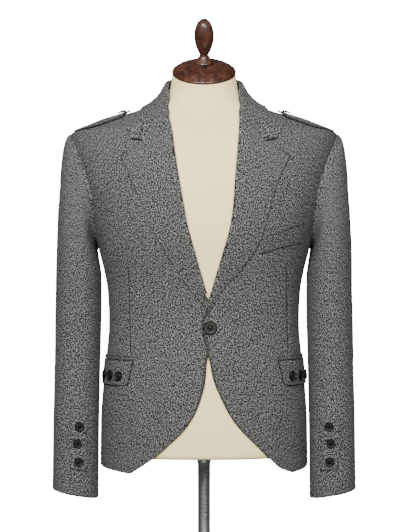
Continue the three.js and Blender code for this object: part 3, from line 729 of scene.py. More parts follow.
def new_material(name):
    material = bpy.data.materials.new(name)
    material.use_nodes = True
    tree = material.node_tree
    return material, tree, tree.nodes["Principled BSDF"]


def ramp(tree, socket, stops):
    made = add_node(tree, "ShaderNodeValToRGB", {"Fac": socket})
    while len(made.color_ramp.elements) < len(stops):
        made.color_ramp.elements.new(0.5)
    for element, (place, colour) in zip(made.color_ramp.elements, stops):
        element.position = place
        element.color = colour
    return made.outputs["Color"]


def noise_field(tree, place, scale, rotation=(0, 0, 0), **settings):
    """A noise between 0 and 1, laid over a place's coordinates at a scale along each axis."""
    laid = add_node(tree, "ShaderNodeMapping", {"Vector": place}, Rotation=rotation, Scale=scale)
    made = add_node(tree, "ShaderNodeTexNoise", {"Vector": laid.outputs["Vector"]}, Scale=1.0, **settings)
    return made.outputs["Fac"]


def object_place(tree):
    return add_node(tree, "ShaderNodeTexCoord").outputs["Object"]


def grey(value):
    return (value, value, value, 1)


def weave_material(sizes):
    """Woollen tweed, a 2/2 twill of salt-and-pepper yarn, milled and pressed.

    Its yarns are about 1.3 mm apart, too fine to show in the render. So the flecks are drawn 1.2 and 1.9 mm wide, and
    the twill's lines as streaks of 1.3 by 4.4 mm. The flecks and streaks give the eye a mottled grey cloth with a
    faint slant. Wool fibres scatter light at grazing angles, which the sheen gives.
    """
    material, tree, shader = new_material("tweed_wool_twill")
    place = add_node(tree, "ShaderNodeUVMap", uv_map="cloth").outputs["UV"]
    in_mm = add_node(tree, "ShaderNodeMapping", {"Vector": place}, Scale=(1000, 1000, 1000)).outputs["Vector"]

    def yarns(turn, wide, long, detail):
        laid = (1 / wide, 1 / long, 1)
        return noise_field(tree, in_mm, laid, (0, 0, math.radians(turn)), Detail=detail, Roughness=0.6)

    def combined(first, second, share):
        """The first field with a share of the second, which keeps a mean of a half."""
        mixed = add_node(tree, "ShaderNodeMix", {"A": first, "B": second}, data_type="FLOAT", Factor=share)
        return mixed.outputs[0]

    twill = combined(yarns(-40, 1.3, 4.4, 1.0), yarns(50, 1.2, 2.6, 1.0), 0.45)
    flecks = combined(yarns(10, 1.9, 1.8, 0.0), yarns(35, 1.2, 1.2, 0.0), 0.35)
    spun = combined(twill, flecks, 0.5)
    clouds = yarns(0, 26.0, 34.0, 2.0)
    dark, middle, light = linear(sizes.tweed_dark), linear(sizes.tweed_middle), linear(sizes.tweed_light)
    yarn = ramp(tree, spun, [(0.452, dark), (0.5, middle), (0.548, light)])
    tone = ramp(tree, clouds, [(0.3, grey(0.92)), (0.7, grey(1.0))])
    # Painted shade: the places rated in the attribute named pressed are darkened down to about a fifth. This paints the
    # dark lines along edges, in notch slits and in dart grooves.
    press = add_node(tree, "ShaderNodeAttribute", attribute_name="pressed").outputs["Fac"]
    painted_edge_shade = ramp(tree, press, [(0.2, grey(1.0)), (0.95, grey(0.22))])

    def multiplied(first, second):
        made = add_node(tree, "ShaderNodeMix", data_type="RGBA", blend_type="MULTIPLY")
        made.inputs[0].default_value = 1.0
        tree.links.new(first, made.inputs[6])
        tree.links.new(second, made.inputs[7])
        return made.outputs[2]

    tree.links.new(multiplied(multiplied(yarn, tone), painted_edge_shade), shader.inputs["Base Color"])
    relief = add_node(tree, "ShaderNodeBump", {"Height": spun}, Strength=0.4, Distance=0.001)
    tree.links.new(relief.outputs["Normal"], shader.inputs["Normal"])
    shader.inputs["Roughness"].default_value = 0.95
    shader.inputs["IOR"].default_value = 1.5
    shader.inputs["Specular IOR Level"].default_value = 0.15
    shader.inputs["Sheen Weight"].default_value = 0.02
    shader.inputs["Sheen Roughness"].default_value = 0.5
    return material


def horn_material(sizes):
    """Dyed polyester resin cast to look like horn: near black with faint brown streaks 2 by 6 mm and a moulded gloss.

    The places drawn greyer and duller are rated by an attribute. On the raised beads and the dome the grey is wear and
    partly a painted highlight. In the sunken dish it is a painted highlight, which stands in for the gloss's
    reflection.
    They pick out the relief for the eye.
    """
    material, tree, shader = new_material("button_resin_horn")
    streaks = noise_field(tree, object_place(tree), (180, 520, 180), Detail=3.0)
    colour = ramp(tree, streaks, [(0.45, linear(sizes.horn)), (0.75, linear(sizes.horn_streak))])
    # Greyer where rated: wear and painted highlight on the relief, painted highlight in the sunken dish
    wear_and_highlight = add_node(tree, "ShaderNodeAttribute", attribute_name="wear_and_highlight").outputs["Fac"]
    wear_and_highlight_colour = add_node(tree, "ShaderNodeMix", {"Factor": wear_and_highlight}, data_type="RGBA")
    tree.links.new(colour, wear_and_highlight_colour.inputs[6])
    wear_and_highlight_colour.inputs[7].default_value = linear(sizes.horn_wear_and_highlight)
    tree.links.new(wear_and_highlight_colour.outputs[2], shader.inputs["Base Color"])
    gloss = ramp(tree, wear_and_highlight, [(0.0, grey(0.32)), (1.0, grey(0.55))])
    tree.links.new(gloss, shader.inputs["Roughness"])
    shader.inputs["IOR"].default_value = 1.45
    shader.inputs["Specular IOR Level"].default_value = 0.22
    return material


def jersey_material(sizes):
    """Cream cotton jersey stretched over the form, matte with a faint sheen, which gives the eye a soft skin.

    Its stitches are about 0.8 mm apart, too fine to show, so they are drawn at 1.8 mm.
    """
    material, tree, shader = new_material("form_cotton_jersey")
    knit = noise_field(tree, object_place(tree), (560, 560, 420), Detail=2.0)
    # The darker cream lies in the knit's hollows, a painted shade there
    colour = ramp(tree, knit, [(0.3, linear(sizes.cover_hollow_shade)), (0.65, linear(sizes.cover))])
    tree.links.new(colour, shader.inputs["Base Color"])
    relief = add_node(tree, "ShaderNodeBump", {"Height": knit}, Strength=0.25, Distance=0.0004)
    tree.links.new(relief.outputs["Normal"], shader.inputs["Normal"])
    shader.inputs["Roughness"].default_value = 0.8
    shader.inputs["Sheen Weight"].default_value = 0.1
    return material


def wood_material(sizes):
    """Turned beech, stained red-brown and varnished: a figure 14 mm wide and pores under a clear gloss coat.

    Beech pores are about 0.1 mm wide, too fine to show, so they are drawn 1.4 mm wide. The coat gives the eye the small
    bright reflections of varnish.
    """
    material, tree, shader = new_material("wood_stained_beech_varnished")
    grain = (0.5, 0.25, 0)
    swirl = noise_field(tree, object_place(tree), (70, 70, 13), grain, Detail=4.0, Distortion=1.3)
    pores = noise_field(tree, object_place(tree), (700, 700, 60), grain, Detail=2.0)
    both = add_node(tree, "ShaderNodeMath", {0: swirl, 1: pores}, operation="ADD")
    half = add_node(tree, "ShaderNodeMath", {0: both.outputs[0]}, operation="MULTIPLY")
    half.inputs[1].default_value = 0.5
    stops = [(0.4, linear(sizes.wood_dark)), (0.5, linear(sizes.wood_middle)), (0.62, linear(sizes.wood_light))]
    tree.links.new(ramp(tree, half.outputs[0], stops), shader.inputs["Base Color"])
    shader.inputs["Roughness"].default_value = 0.5
    shader.inputs["Specular IOR Level"].default_value = 0.3
    shader.inputs["Coat Weight"].default_value = 0.35
    shader.inputs["Coat Roughness"].default_value = 0.05
    return material


def steel_material(sizes):
    """Mild steel, brushed and nickel plated, which gives the eye a satin shine.

    The brushing is about 0.1 mm wide, too fine to show, so it is drawn at 1 mm.
    """
    material, tree, shader = new_material("steel_brushed_nickel")
    brushing = noise_field(tree, object_place(tree), (60, 60, 1000), Detail=2.0)
    shine = ramp(tree, brushing, [(0.3, grey(0.26)), (0.7, grey(0.4))])
    tree.links.new(shine, shader.inputs["Roughness"])
    shader.inputs["Base Color"].default_value = linear(sizes.steel)
    shader.inputs["Metallic"].default_value = 1.0
    return material


def paper_material(sizes):
    """Matt white studio paper, lit through from behind so that it stays an even white."""
    material, _, shader = new_material("studio_paper")
    shader.inputs["Base Color"].default_value = linear(sizes.paper)
    shader.inputs["Roughness"].default_value = 0.95
    shader.inputs["Emission Color"].default_value = linear("#FFFFFF")
    shader.inputs["Emission Strength"].default_value = sizes.glow
    return material


def jacket_sizes():
    return bpy.context.scene.jacket_sizes


MADE_FINISHES = {}


def finish_of(kind):
    """The material of a kind, made once and shared by its pieces."""
    makers = {
        "tweed": weave_material,
        "horn": horn_material,
        "jersey": jersey_material,
        "wood": wood_material,
        "steel": steel_material,
        "paper": paper_material,
    }
    if kind not in MADE_FINISHES:
        MADE_FINISHES[kind] = makers[kind](jacket_sizes())
    return MADE_FINISHES[kind]


# Pieces of the jacket


def both_sides(*makers):
    for side in (1, -1):
        for make in makers:
            make(side)


def make_front(side):
    start = LAPEL_START[side]
    rows = []
    heights = [FRONT_HEM + rise for rise in (0, 3, 7, 12, 18, 25)] + steps(FRONT_HEM + 32, start - 14, 56)
    for z in heights + steps(start - 12, start - 1.5, 6) + roll_heights(side):
        rows.append((z, turn_at(panel_edge(side, z), z)))
    for at in steps(0, COLLAR_FRONT_TO, 34)[1:]:
        rows.append((seam_z(at), seam_turn(at)))
    corner = turn_at(panel_edge(side, GORGE), GORGE)
    grid = []
    inner = []
    for z, edge in rows:
        if z > GORGE:
            ease = smooth(z, GORGE, seam_z(0.05))
            edge = mix(edge + corner - seam_turn(0), edge, ease)
        seam = outer_turn(1, z) + seam_share(z)
        line = []
        under = []
        dart, wide = dart_share(side, z)
        near = [dart + off / wide for off in DART_COLUMNS]
        for share in steps(0, near[0], DART_AFTER)[:-1] + near + steps(near[-1], 1, 24)[1:]:
            height = z + HEM_DIP * (1 - share) * (1 - smooth(z, FRONT_HEM, FRONT_HEM + 75))
            line.append(front_point(side, mix(seam, edge, share), height, 0))
            under.append(front_point(side, mix(seam, edge, share), height, -Cut.cloth))
        grid.append(line)
        inner.append(under)
    name = "front_" + side_word(side)

    # Painted shade: the dart's groove, the hem and the front edge below the lapel are darkened
    def pressed(i, j):
        z = rows[i][0]
        groove = dart_taper(z) * (1.0 if abs(j - DART_AFTER - len(DART_COLUMNS) // 2) <= 1 else 0.0)
        edge = 0.8 if i == 0 or (j == columns and z < start) else 0.0
        return max(groove, edge)

    columns = len(grid[0]) - 1
    piece = shell("cloth_" + name, grid, inner, finish_of("tweed"), pressed=pressed)
    declare_cloth(piece, name)


def back_relief(turn, z, wide):
    drift = noise.noise(Vector((turn / 16, z / 80, 7.7))) * 0.7
    quiet = smooth(z, HEM, HEM + 30) * (1 - smooth(z, 700, 750)) * smooth(90 + turn, 1, 9)
    return quiet * (fold_height(BACK_FOLDS, "turn", turn, z, wide * math.pi / 180) + drift)


def make_back(side):
    first = seam_turn(COLLAR_BACK_FROM)
    ats = steps(COLLAR_BACK_FROM, 1, 48)
    shares = [(seam_turn(at) - first) / (-90 - first) for at in ats]
    heights = [HEM, HEM + 3, HEM + 7] + steps(HEM + 12, ARMHOLE_BOTTOM, 82)[:-1] + arm_heights(44)
    heights += steps(SHOULDER, BACK_TOP, 14)[1:]
    grid = []
    inner = []
    for z in heights:
        line = []
        under = []
        for share, at in zip(shares, ats):
            turn = mix(outer_turn(-1, z) - seam_share(z), -90 + seam_share(z), share)
            p = body_point(side, turn, z + (seam_z(at) - BACK_TOP) * smooth(z, 757, BACK_TOP))
            normal = body_normal(p)
            raised = back_relief(turn, z, body_wide(z)) * smooth(share, 0, 0.12)
            line.append(p + normal * raised)
            under.append(p + normal * (raised - Cut.cloth))
        grid.append(line)
        inner.append(under)
    name = "back_" + side_word(side)
    piece = shell("cloth_" + name, grid, inner, finish_of("tweed"))
    declare_cloth(piece, name)


def roll_steps():
    """Steps round the fold, as distances across and out."""
    made = []
    for angle in steps(0, 180, 10):
        turn = math.radians(angle)
        made.append((-SEAM - Cut.roll * math.sin(turn), -Cut.cloth / 2 + Cut.roll * (1 - math.cos(turn))))
    return made


def bent_path(start, corner, end, share, turning):
    low = share <= turning
    part = share / turning if low else (share - turning) / (1 - turning)
    a, b = (start, corner) if low else (corner, end)
    return mix(a[0], b[0], part), mix(a[1], b[1], part)


def rolled_row(side, spot, wide, shares, settled):
    """One row of a turned-over leaf: round the roll, then settling down on the front."""
    row = [front_at(side, *spot(across / wide), out) for across, out in roll_steps()]
    top = roll_steps()[-1][1]
    for share in shares:
        down = smooth(share * wide, 0, min(wide, LAPEL_FULL))
        row.append(front_at(side, *spot(share), mix(top, settled, down)))
    return row


def make_lapel(side):
    word = side_word(side)
    edge_x = column(LAPEL_EDGE, "at", word + "X")
    edge_z = column(LAPEL_EDGE, "at", word + "Z")
    shares = steps(0, NOTCH_SHARE, 18)[1:] + steps(NOTCH_SHARE, 1, 12)[1:]
    grid = []
    for z in roll_heights(side):
        at = (z - LAPEL_START[side]) / (GORGE - LAPEL_START[side])
        start = (panel_edge(side, z), z)
        end = (edge_x(at), edge_z(at))
        wide = math.hypot(end[0] - start[0], end[1] - start[1])
        kink = smooth(at, 0.8, 1)

        sag = 1 - smooth(at, 0, 0.1)

        def spot(share):
            bent = bent_path(start, NOTCH, end, share, NOTCH_SHARE)
            down = sag * smooth(share, 0.1, 1)
            return (
                mix(mix(start[0], end[0], share), bent[0], kink) - LAPEL_SAG[side][0] * down,
                mix(mix(start[1], end[1], share), bent[1], kink) - LAPEL_SAG[side][1] * down,
            )

        grid.append(rolled_row(side, spot, wide, shares, Cut.settled()))
    normals = grid_normals(grid, side)
    outer = shifted(grid, normals, Cut.cloth / 2)
    rows, columns = len(grid) - 1, len(grid[0]) - 1
    notch = columns - 12

    # Painted shade: full in the notch slit along the lapel's top edge, half along its outer edge and its lower end
    def pressed(i, j):
        if i == rows:
            return 1.0 if j > notch else 0.0
        return 0.5 if j == columns or (i == 0 and j > 8) else 0.0

    def sharp(i, j):
        return i == rows and j <= notch

    inner = shifted(grid, normals, -Cut.cloth / 2)
    piece = shell("cloth_lapel_" + word, outer, inner, finish_of("tweed"), pressed=pressed, sharp=sharp)
    declare_cloth(piece, "lapel_" + word)


def collar_row(side, at, shares):
    seam = body_point(side, seam_turn(at), seam_z(at))
    fold = body_point(side, fold_turn(at), fold_z(at))
    edge = body_point(side, leaf_turn(at), leaf_z(at))
    start = (SEAM + 0.15) / (fold - seam).length
    up = (fold - seam).normalized()
    out = body_normal(fold)
    row = []
    for share in steps(0, 1, 6):
        part = mix(start, 1, share)
        p = body_point(side, mix(seam_turn(at), fold_turn(at), part), mix(seam_z(at), fold_z(at), part))
        row.append(p - body_normal(p) * (Cut.cloth / 2))
    for across, rise in roll_steps()[1:]:
        row.append(fold + out * rise + up * (-across - SEAM))
    top = row[-1]
    to = edge + body_normal(edge) * Cut.collar_clear()
    hollow = COLLAR_SAG * smooth(at, 0.25, 0.5) * (1 - smooth(at, 0.75, 0.95))
    for share in shares:
        p = top.lerp(to, share)
        row.append(clear_of(p - body_normal(p) * hollow * math.sin(math.pi * share), Cut.collar_clear()))
    return row


def gorge_row(side, shares):
    start = (panel_edge(side, GORGE), GORGE)
    tip = body_point(1, leaf_turn(0), leaf_z(0))
    wide = math.hypot(NOTCH[0] - start[0], NOTCH[1] - start[1]) / COLLAR_NOTCH

    def spot(share):
        x, z = bent_path(start, NOTCH, (tip.x, tip.z), share, COLLAR_NOTCH)
        return x, z + GORGE_LIFT

    row = rolled_row(side, spot, wide, shares, Cut.collar_clear())
    step = (row[1] - row[0]).normalized() * 0.4
    return [row[0] - step * (1 - k / 6) for k in range(6)] + row


def make_collar():
    shares = steps(0, COLLAR_NOTCH, 13)[1:] + steps(COLLAR_NOTCH, 1, 6)[1:]
    join = 0.05
    ats = steps(join, COLLAR_FRONT_TO, 36) + steps(COLLAR_BACK_FROM, 1, 40)

    def half(side):
        rows = [collar_row(side, at, shares) for at in ats]
        first = gorge_row(side, shares)
        blend = [[a.lerp(b, t) for a, b in zip(first, rows[0])] for t in (0, 0.25, 0.5, 0.75)]
        return blend + rows

    left, right = half(1), half(-1)
    grid = left + right[:-1][::-1]
    normals = grid_normals(grid, 1)
    outer = shifted(grid, normals, Cut.cloth / 2)
    rows, columns = len(grid) - 1, len(grid[0]) - 1
    notch = columns - 6

    # Painted shade: full at the collar's ends in the notches, a little along its outer edge
    def pressed(i, j):
        if i in (0, rows):
            return 1.0 if j > notch else 0.0
        return 0.3 if j == columns else 0.0

    def sharp(i, j):
        return i in (0, rows) and j <= notch

    inner = shifted(grid, normals, -Cut.cloth / 2)
    piece = shell("cloth_collar", outer, inner, finish_of("tweed"), pressed=pressed, sharp=sharp)
    declare_cloth(piece, "collar")


def sleeve_point(side, angle, z):
    inner, outer = sleeve_inner(z), sleeve_outer(z)
    power = 2 / SLEEVE_SQUARE
    x = (inner + outer) / 2 + (outer - inner) / 2 * signed_power(math.cos(angle), power)
    y = sleeve_middle(z) - sleeve_deep(z) * signed_power(math.sin(angle), power)
    return Vector((side * x, y, z + sleeve_tilt(z) * math.cos(angle)))


def bezier(a, b, c, d, t):
    return a * (1 - t) ** 3 + b * 3 * t * (1 - t) ** 2 + c * 3 * t * t * (1 - t) + d * t**3


def sleeve_relief(side, angle, z):
    """Folds and a pressed back seam; the side next to the body stays smooth."""
    turn = math.degrees(angle)
    turn = turn - 360 if turn > 180 else turn
    turn += 4 * (1 - side)
    free = 1 - smooth(abs(turn), 118, 150)
    seam = -0.8 * math.exp(-(((turn + 128) * 0.9 / 2.2) ** 2))
    drift = noise.noise(Vector((turn / 40, z / 70, side * 5.0))) * 0.8
    quiet = smooth(z, SLEEVE_END + 3, SLEEVE_END + 34) * (1 - smooth(z, 690, 735))
    calm_cuff = mix(0.25, 1, smooth(z, 270, 340))
    return quiet * (free * calm_cuff * (fold_height(SLEEVE_FOLDS, "angle", turn, z, 1.05) + drift) + seam * (z < 700))


def make_sleeve(side):
    count = 104
    angles = [2 * math.pi * k / count for k in range(count)]
    head = []
    along_head = steps(0, 1, 30)
    for angle in angles:
        seam = armhole_point(side, angle)
        ahead = armhole_point(side, angle + 0.02) - armhole_point(side, angle - 0.02)
        out = body_normal(seam)
        inwards = out.cross(ahead).normalized() * side
        high, low = max(0.0, math.cos(angle)), max(0.0, -math.cos(angle))
        flank, forward = abs(math.sin(angle)), -math.sin(angle)
        root = seam + inwards * (SEAM + 0.05) - out
        p0 = root + out * 1.3
        p1 = p0 + Vector((side * (17 * high + 12 * flank + 7 * low), 9 * forward, 8 * high - 4 * flank))
        p3 = sleeve_point(side, angle, SLEEVE_TOP)
        p2 = p3 + Vector((side * (4.5 * low - 6 * high), 3 * forward, 80 * high + 45 * flank + 25 * low))
        head.append([root] + [bezier(p0, p1, p2, p3, t) for t in along_head])
    rings = [[line[i] for line in head] for i in range(len(along_head) + 1)]
    rings = rings[:2] + [[clear_of(p, 0.9) for p in ring] for ring in rings[2:]]
    for z in steps(SLEEVE_TOP, SLEEVE_END, 92)[1:]:
        rings.append([sleeve_point(side, angle, z) for angle in angles])
    normals = grid_normals(rings, 1, ring=True)
    hand = 1 if normals[-1][0].x * side > 0 else -1
    outer = []
    for i, (ring, line) in enumerate(zip(rings, normals)):
        row = []
        for angle, p, normal in zip(angles, ring, line):
            raised = sleeve_relief(side, angle, p.z) * smooth(i, 2, 8)
            row.append(p + normal * (hand * raised))
        outer.append(row)
    normals = grid_normals(outer, hand, ring=True)
    inner = shifted(outer, normals, -Cut.cloth)
    for j, angle in enumerate(angles):
        seam = armhole_point(side, angle)
        ahead = armhole_point(side, angle + 0.02) - armhole_point(side, angle - 0.02)
        inwards = body_normal(seam).cross(ahead).normalized() * side
        inner[0][j] = outer[0][j] + inwards * Cut.cloth
    name = "sleeve_" + side_word(side)
    last = len(outer) - 1

    # Painted shade along the cuff's edge
    def pressed(i, j):
        return 1.0 if i == last else 0.0

    piece = shell("cloth_" + name, outer, inner, finish_of("tweed"), ring=True, pressed=pressed)
    declare_cloth(piece, name)


def stitched(across, down, wide, tall, inset=4.0):
    """A row of pressed stitching near three free edges of a small piece."""
    edge = min(across * wide, (1 - across) * wide, (1 - down) * tall)
    return -0.5 * math.exp(-(((edge - inset) / 0.9) ** 2)) + 0.15 * smooth(edge, 0, 2)


def shaded_top_edge(i, j):
    """Rates painted shade on a flat strip: strong along its first row, a little over the rest."""
    return 0.9 if i == 0 else 0.3


def shaded_all_round(rows, columns, rated=1.0):
    """Makes a function that rates every edge of a small piece for painted shade."""

    def edge(i, j):
        return rated if i in (0, rows) or j in (0, columns) else 0.0

    return edge


def patch(name, side, across, down, place, cloth, size, node):
    """A small piece laid on a front. One with a size is stitched near its edges, and one without is a folded strip."""
    grid, inner = [], []
    for i in range(down + 1):
        row, under = [], []
        for j in range(across + 1):
            turn, z = place(j / across, i / down)
            press = stitched(j / across, i / down, *size) if size else 0
            row.append(front_point(side, turn, z, LIE + cloth + press))
            under.append(front_point(side, turn, z, LIE))
        grid.append(row)
        inner.append(under)
    # Painted shade round a stitched piece's edges, or along a strip's first row
    edge = shaded_all_round(down, across) if size else shaded_top_edge
    piece = shell(name, grid, inner, finish_of("tweed"), pressed=edge)
    if size:
        declare_cloth(piece, node)
    else:
        declare_cloth(piece, node)


def rounded(share, by):
    return by * (1 - math.sqrt(1 - max(0.0, (share - 0.86) / 0.14) ** 2 * 0.96))


def make_flap(side):
    word = side_word(side)
    turns = FLAP_TURNS[side]

    def place(across, down):
        ahead = turns["front"] - FLAP["slant"] * down
        behind = turns["back"] + FLAP["slant"] * down
        lift = rounded(across, 4) + rounded(1 - across, 4)
        return mix(behind, ahead, across), mix(FLAP["top"], FLAP["bottom"] + lift, down)

    patch("cloth_flap_" + word, side, 64, 28, place, FLAP["cloth"], (118, 44), "pocket_flap_" + word)

    def jet_place(across, down):
        turn = mix(turns["back"] - JET["longer"], turns["front"] + JET["longer"], across)
        return turn, mix(JET["top"], JET["bottom"], down)

    patch("cloth_jet_" + word, side, 64, 5, jet_place, JET["cloth"], None, "pocket_jet_" + word)


def make_welt():
    low_x, low_z, high_x, high_z = (column(WELT, "at", key) for key in ("lowX", "lowZ", "highX", "highZ"))

    def place(across, down):
        x = mix(high_x(across), low_x(across), down)
        z = mix(high_z(across), low_z(across), down)
        return turn_at(x, z), z

    patch("cloth_chest_welt", 1, 40, 16, place, FLAP["cloth"], None, "chest_welt")


def sleeve_angle(x, z):
    middle = (sleeve_inner(z) + sleeve_outer(z)) / 2
    half = (sleeve_outer(z) - sleeve_inner(z)) / 2
    return math.acos(signed_power((x - middle) / half, SLEEVE_SQUARE / 2))


def cuff_spot(side, x, z, out):
    angle = sleeve_angle(x, z)
    p = sleeve_point(side, angle, z)
    around = sleeve_point(side, angle + 0.02, z) - sleeve_point(side, angle - 0.02, z)
    up = sleeve_point(side, angle, z + 2) - sleeve_point(side, angle, z - 2)
    normal = around.cross(up).normalized() * -side
    return p + normal * (out + sleeve_relief(side, angle, p.z)), normal


def make_tab(side):
    word = side_word(side)
    grid, inner = [], []
    tall, wide = 40, 14
    for down in steps(0, 1, tall):
        row, under = [], []
        for across in steps(-1, 1, wide):
            bulge = TAB["bulge"] * max(0, across) * math.sin(math.pi * down) ** 2
            x = TAB["x"] + TAB["half"] * across + bulge
            z = mix(TAB["bottom"], TAB["top"], down)
            row.append(cuff_spot(side, x, z, LIE + TAB["cloth"])[0])
            under.append(cuff_spot(side, x, z, LIE)[0])
        grid.append(row)
        inner.append(under)
    # Painted shade at half strength round the tab's edges
    piece = shell("cloth_cuff_tab_" + word, grid, inner, finish_of("tweed"), pressed=shaded_all_round(tall, wide, 0.5))
    declare_cloth(piece, "cuff_tab_" + word)


def shoulder_point(x, y):
    low, high = SHOULDER - 30, 806.0
    for _ in range(30):
        z = (low + high) / 2
        if body_ratio(x, y, z) < 0:
            low = z
        else:
            high = z
    return Vector((x, y, low))


def strap_point(side, x, across, out):
    run = (STRAP["out"] - x) / (STRAP["out"] - STRAP["tip"])
    to_tip = (x - STRAP["tip"]) / STRAP["point"]
    grown = smooth(run, 0, 0.35)
    half = (STRAP["half"] + STRAP["wider"] * grown) * min(1.0, 0.12 + 0.88 * to_tip)
    curved = x - (4 - 10 * min(0, across)) * across * across * (1 - smooth(run, 0, 0.3))
    p = shoulder_point(side * curved, STRAP["middle"] - 3 * grown + half * across)
    return p + body_normal(p) * (out + STRAP["raised"] * smooth(run, 0.75, 1))


def make_strap(side):
    """A strap over the shoulder, stitched round, its outer end pressed thin where the sleeve's seam takes it in."""
    word = side_word(side)
    reach = STRAP["tip"] + STRAP["point"]
    xs = steps(STRAP["out"], reach, 40) + steps(reach, STRAP["tip"], 10)[1:]
    columns = 24
    grid, inner = [], []
    for x in xs:
        run = (STRAP["out"] - x) / (STRAP["out"] - STRAP["tip"])
        thick = STRAP["cloth"] * (1 - 0.45 * (1 - smooth(run, 0, 0.25)))
        row, under = [], []
        for across in steps(-1, 1, columns):
            wide = 2 * (STRAP["half"] + STRAP["wider"] * smooth(run, 0, 0.35))
            edge = min((1 - abs(across)) * wide / 2, (x - STRAP["tip"]) * 0.9)
            press = -0.6 * math.exp(-(((edge - 4.0) / 0.9) ** 2))
            row.append(strap_point(side, x, across, LIE + thick + press))
            under.append(strap_point(side, x, across, LIE))
        grid.append(row)
        inner.append(under)
    rows = len(xs) - 1

    # Painted shade along the strap's sides and its tip
    def pressed(i, j):
        return 1.0 if j in (0, columns) or i == rows else 0.0

    piece = shell("cloth_strap_" + word, grid, inner, finish_of("tweed"), pressed=pressed)
    declare_cloth(piece, "shoulder_strap_" + word)


# Turned pieces


def turned(name, profile, segments, material, levels=2):
    """A lathe-turned piece round Z: a ring is drawn out and resized along the profile, and its ends are closed."""
    if bpy.context.object and bpy.context.object.mode != "OBJECT":
        bpy.ops.object.mode_set(mode="OBJECT")
    bpy.ops.object.select_all(action="DESELECT")
    radius, height = profile[0]
    bpy.ops.mesh.primitive_circle_add(vertices=segments, radius=radius * MM, location=(0, 0, 0))
    piece = bpy.context.object
    piece.name = name
    bpy.ops.object.mode_set(mode="EDIT")
    bpy.ops.mesh.select_all(action="SELECT")
    bpy.ops.transform.translate(value=(0, 0, height * MM))
    for next_radius, next_height in profile[1:]:
        bpy.ops.mesh.extrude_edges_move(TRANSFORM_OT_translate={"value": (0, 0, (next_height - height) * MM)})
        ratio = next_radius / radius
        bpy.ops.transform.resize(value=(ratio, ratio, 1), center_override=(0, 0, next_height * MM))
        radius, height = next_radius, next_height
    bpy.ops.mesh.select_all(action="DESELECT")
    bpy.ops.object.mode_set(mode="OBJECT")
    for level in (profile[0][1], profile[-1][1]):
        ends = profile[0][0] if level == profile[0][1] else profile[-1][0]
        for vertex in piece.data.vertices:
            flat = math.hypot(vertex.co.x, vertex.co.y)
            vertex.select = abs(vertex.co.z - level * MM) < 1e-6 and flat < ends * MM * 1.01
        bpy.ops.object.mode_set(mode="EDIT")
        bpy.ops.mesh.merge(type="CENTER")
        bpy.ops.mesh.select_all(action="DESELECT")
        bpy.ops.object.mode_set(mode="OBJECT")
    bpy.ops.object.mode_set(mode="EDIT")
    bpy.ops.mesh.select_all(action="SELECT")
    bpy.ops.mesh.normals_make_consistent(inside=False)
    bpy.ops.object.mode_set(mode="OBJECT")
    softened = piece.modifiers.new("softened", "SUBSURF")
    softened.levels = softened.render_levels = levels
    bpy.ops.object.modifier_apply(modifier=softened.name)
    bpy.ops.object.shade_smooth()
    piece.data.materials.clear()
    piece.data.materials.append(material)
    return piece


def place_copy(model, name, point, direction, node, spin=0.0):
    """Copies a turned model to its place, with its axis along a direction. The copy's origin stays at the world's."""
    piece = model.copy()
    piece.data = model.data.copy()
    piece.name = name
    bpy.context.collection.objects.link(piece)
    aim = Vector((0, 0, 1)).rotation_difference(direction).to_matrix().to_4x4()
    move = Matrix.Translation(point * MM) @ aim @ Matrix.Rotation(spin, 4, "Z")
    piece.data.transform(move)
    stand_for(piece, node)
    return piece


def turned_piece(name, profile, segments, kind, point, direction, node):
    """Turns a piece, sets it at its place and takes the model away."""
    model = turned("model_" + name, profile, segments, finish_of(kind), 2)
    place_copy(model, name, point, direction, node)
    bpy.data.objects.remove(model)


def button_model(kind):
    """A cast button: rim, sunken dish with a ring of beads cut as flutes, and a low dome."""
    r = BUTTON_RADIUS[kind]
    tall = BUTTON_TALL
    profile = [
        (r * 0.05, 0.05),
        (r * 0.6, 0.05),
        (r * 0.84, 0.05),
        (r * 0.95, 0.6),
        (r * 1.0, 1.3),
        (r * 1.0, tall * 0.75),
        (r * 0.95, tall * 0.97),
        (r * 0.86, tall),
        (r * 0.78, tall * 0.9),
        (r * 0.72, tall * 0.66),
        (r * 0.62, tall * 0.62),
        (r * 0.54, tall * 0.66),
        (r * 0.5, tall * 0.82),
        (r * 0.42, tall * 0.84),
        (r * 0.36, tall * 0.66),
        (r * 0.28, tall * 0.68),
        (r * 0.22, tall * 0.84),
        (r * 0.12, tall * 0.96),
        (r * 0.03, tall * 0.98),
    ]
    model = turned("model_" + kind, profile, 32, finish_of("horn"), 2)
    # The attribute rates where the horn is drawn greyer, as wear and painted highlight
    layer = model.data.attributes.new("wear_and_highlight", "FLOAT", "POINT")
    for vertex, rated in zip(model.data.vertices, layer.data):
        flat = math.hypot(vertex.co.x, vertex.co.y) / (r * MM)
        if vertex.co.z < tall * 0.4 * MM:
            continue
        spoke = math.cos(FLUTES * math.atan2(vertex.co.y, vertex.co.x))
        if 0.2 < flat < 0.6:
            vertex.co.z += FLUTE_DEEP * MM * spoke * math.sin(math.pi * (flat - 0.2) / 0.4)
        # Grey in the sunken dish is a painted highlight for the gloss's reflection, and grey on the raised beads and
        # the centre is wear and painted highlight. It is strongest on the front button
        dish = smooth(flat, 0.5, 0.58) * (1 - smooth(flat, 0.76, 0.84))
        flute = 0.75 * max(0, spoke) * smooth(flat, 0.22, 0.34) * (1 - smooth(flat, 0.46, 0.56))
        rated.value = max(dish, flute, 0.45 * (1 - smooth(flat, 0.08, 0.16))) * (1.0 if kind == "front" else 0.5)
    return model


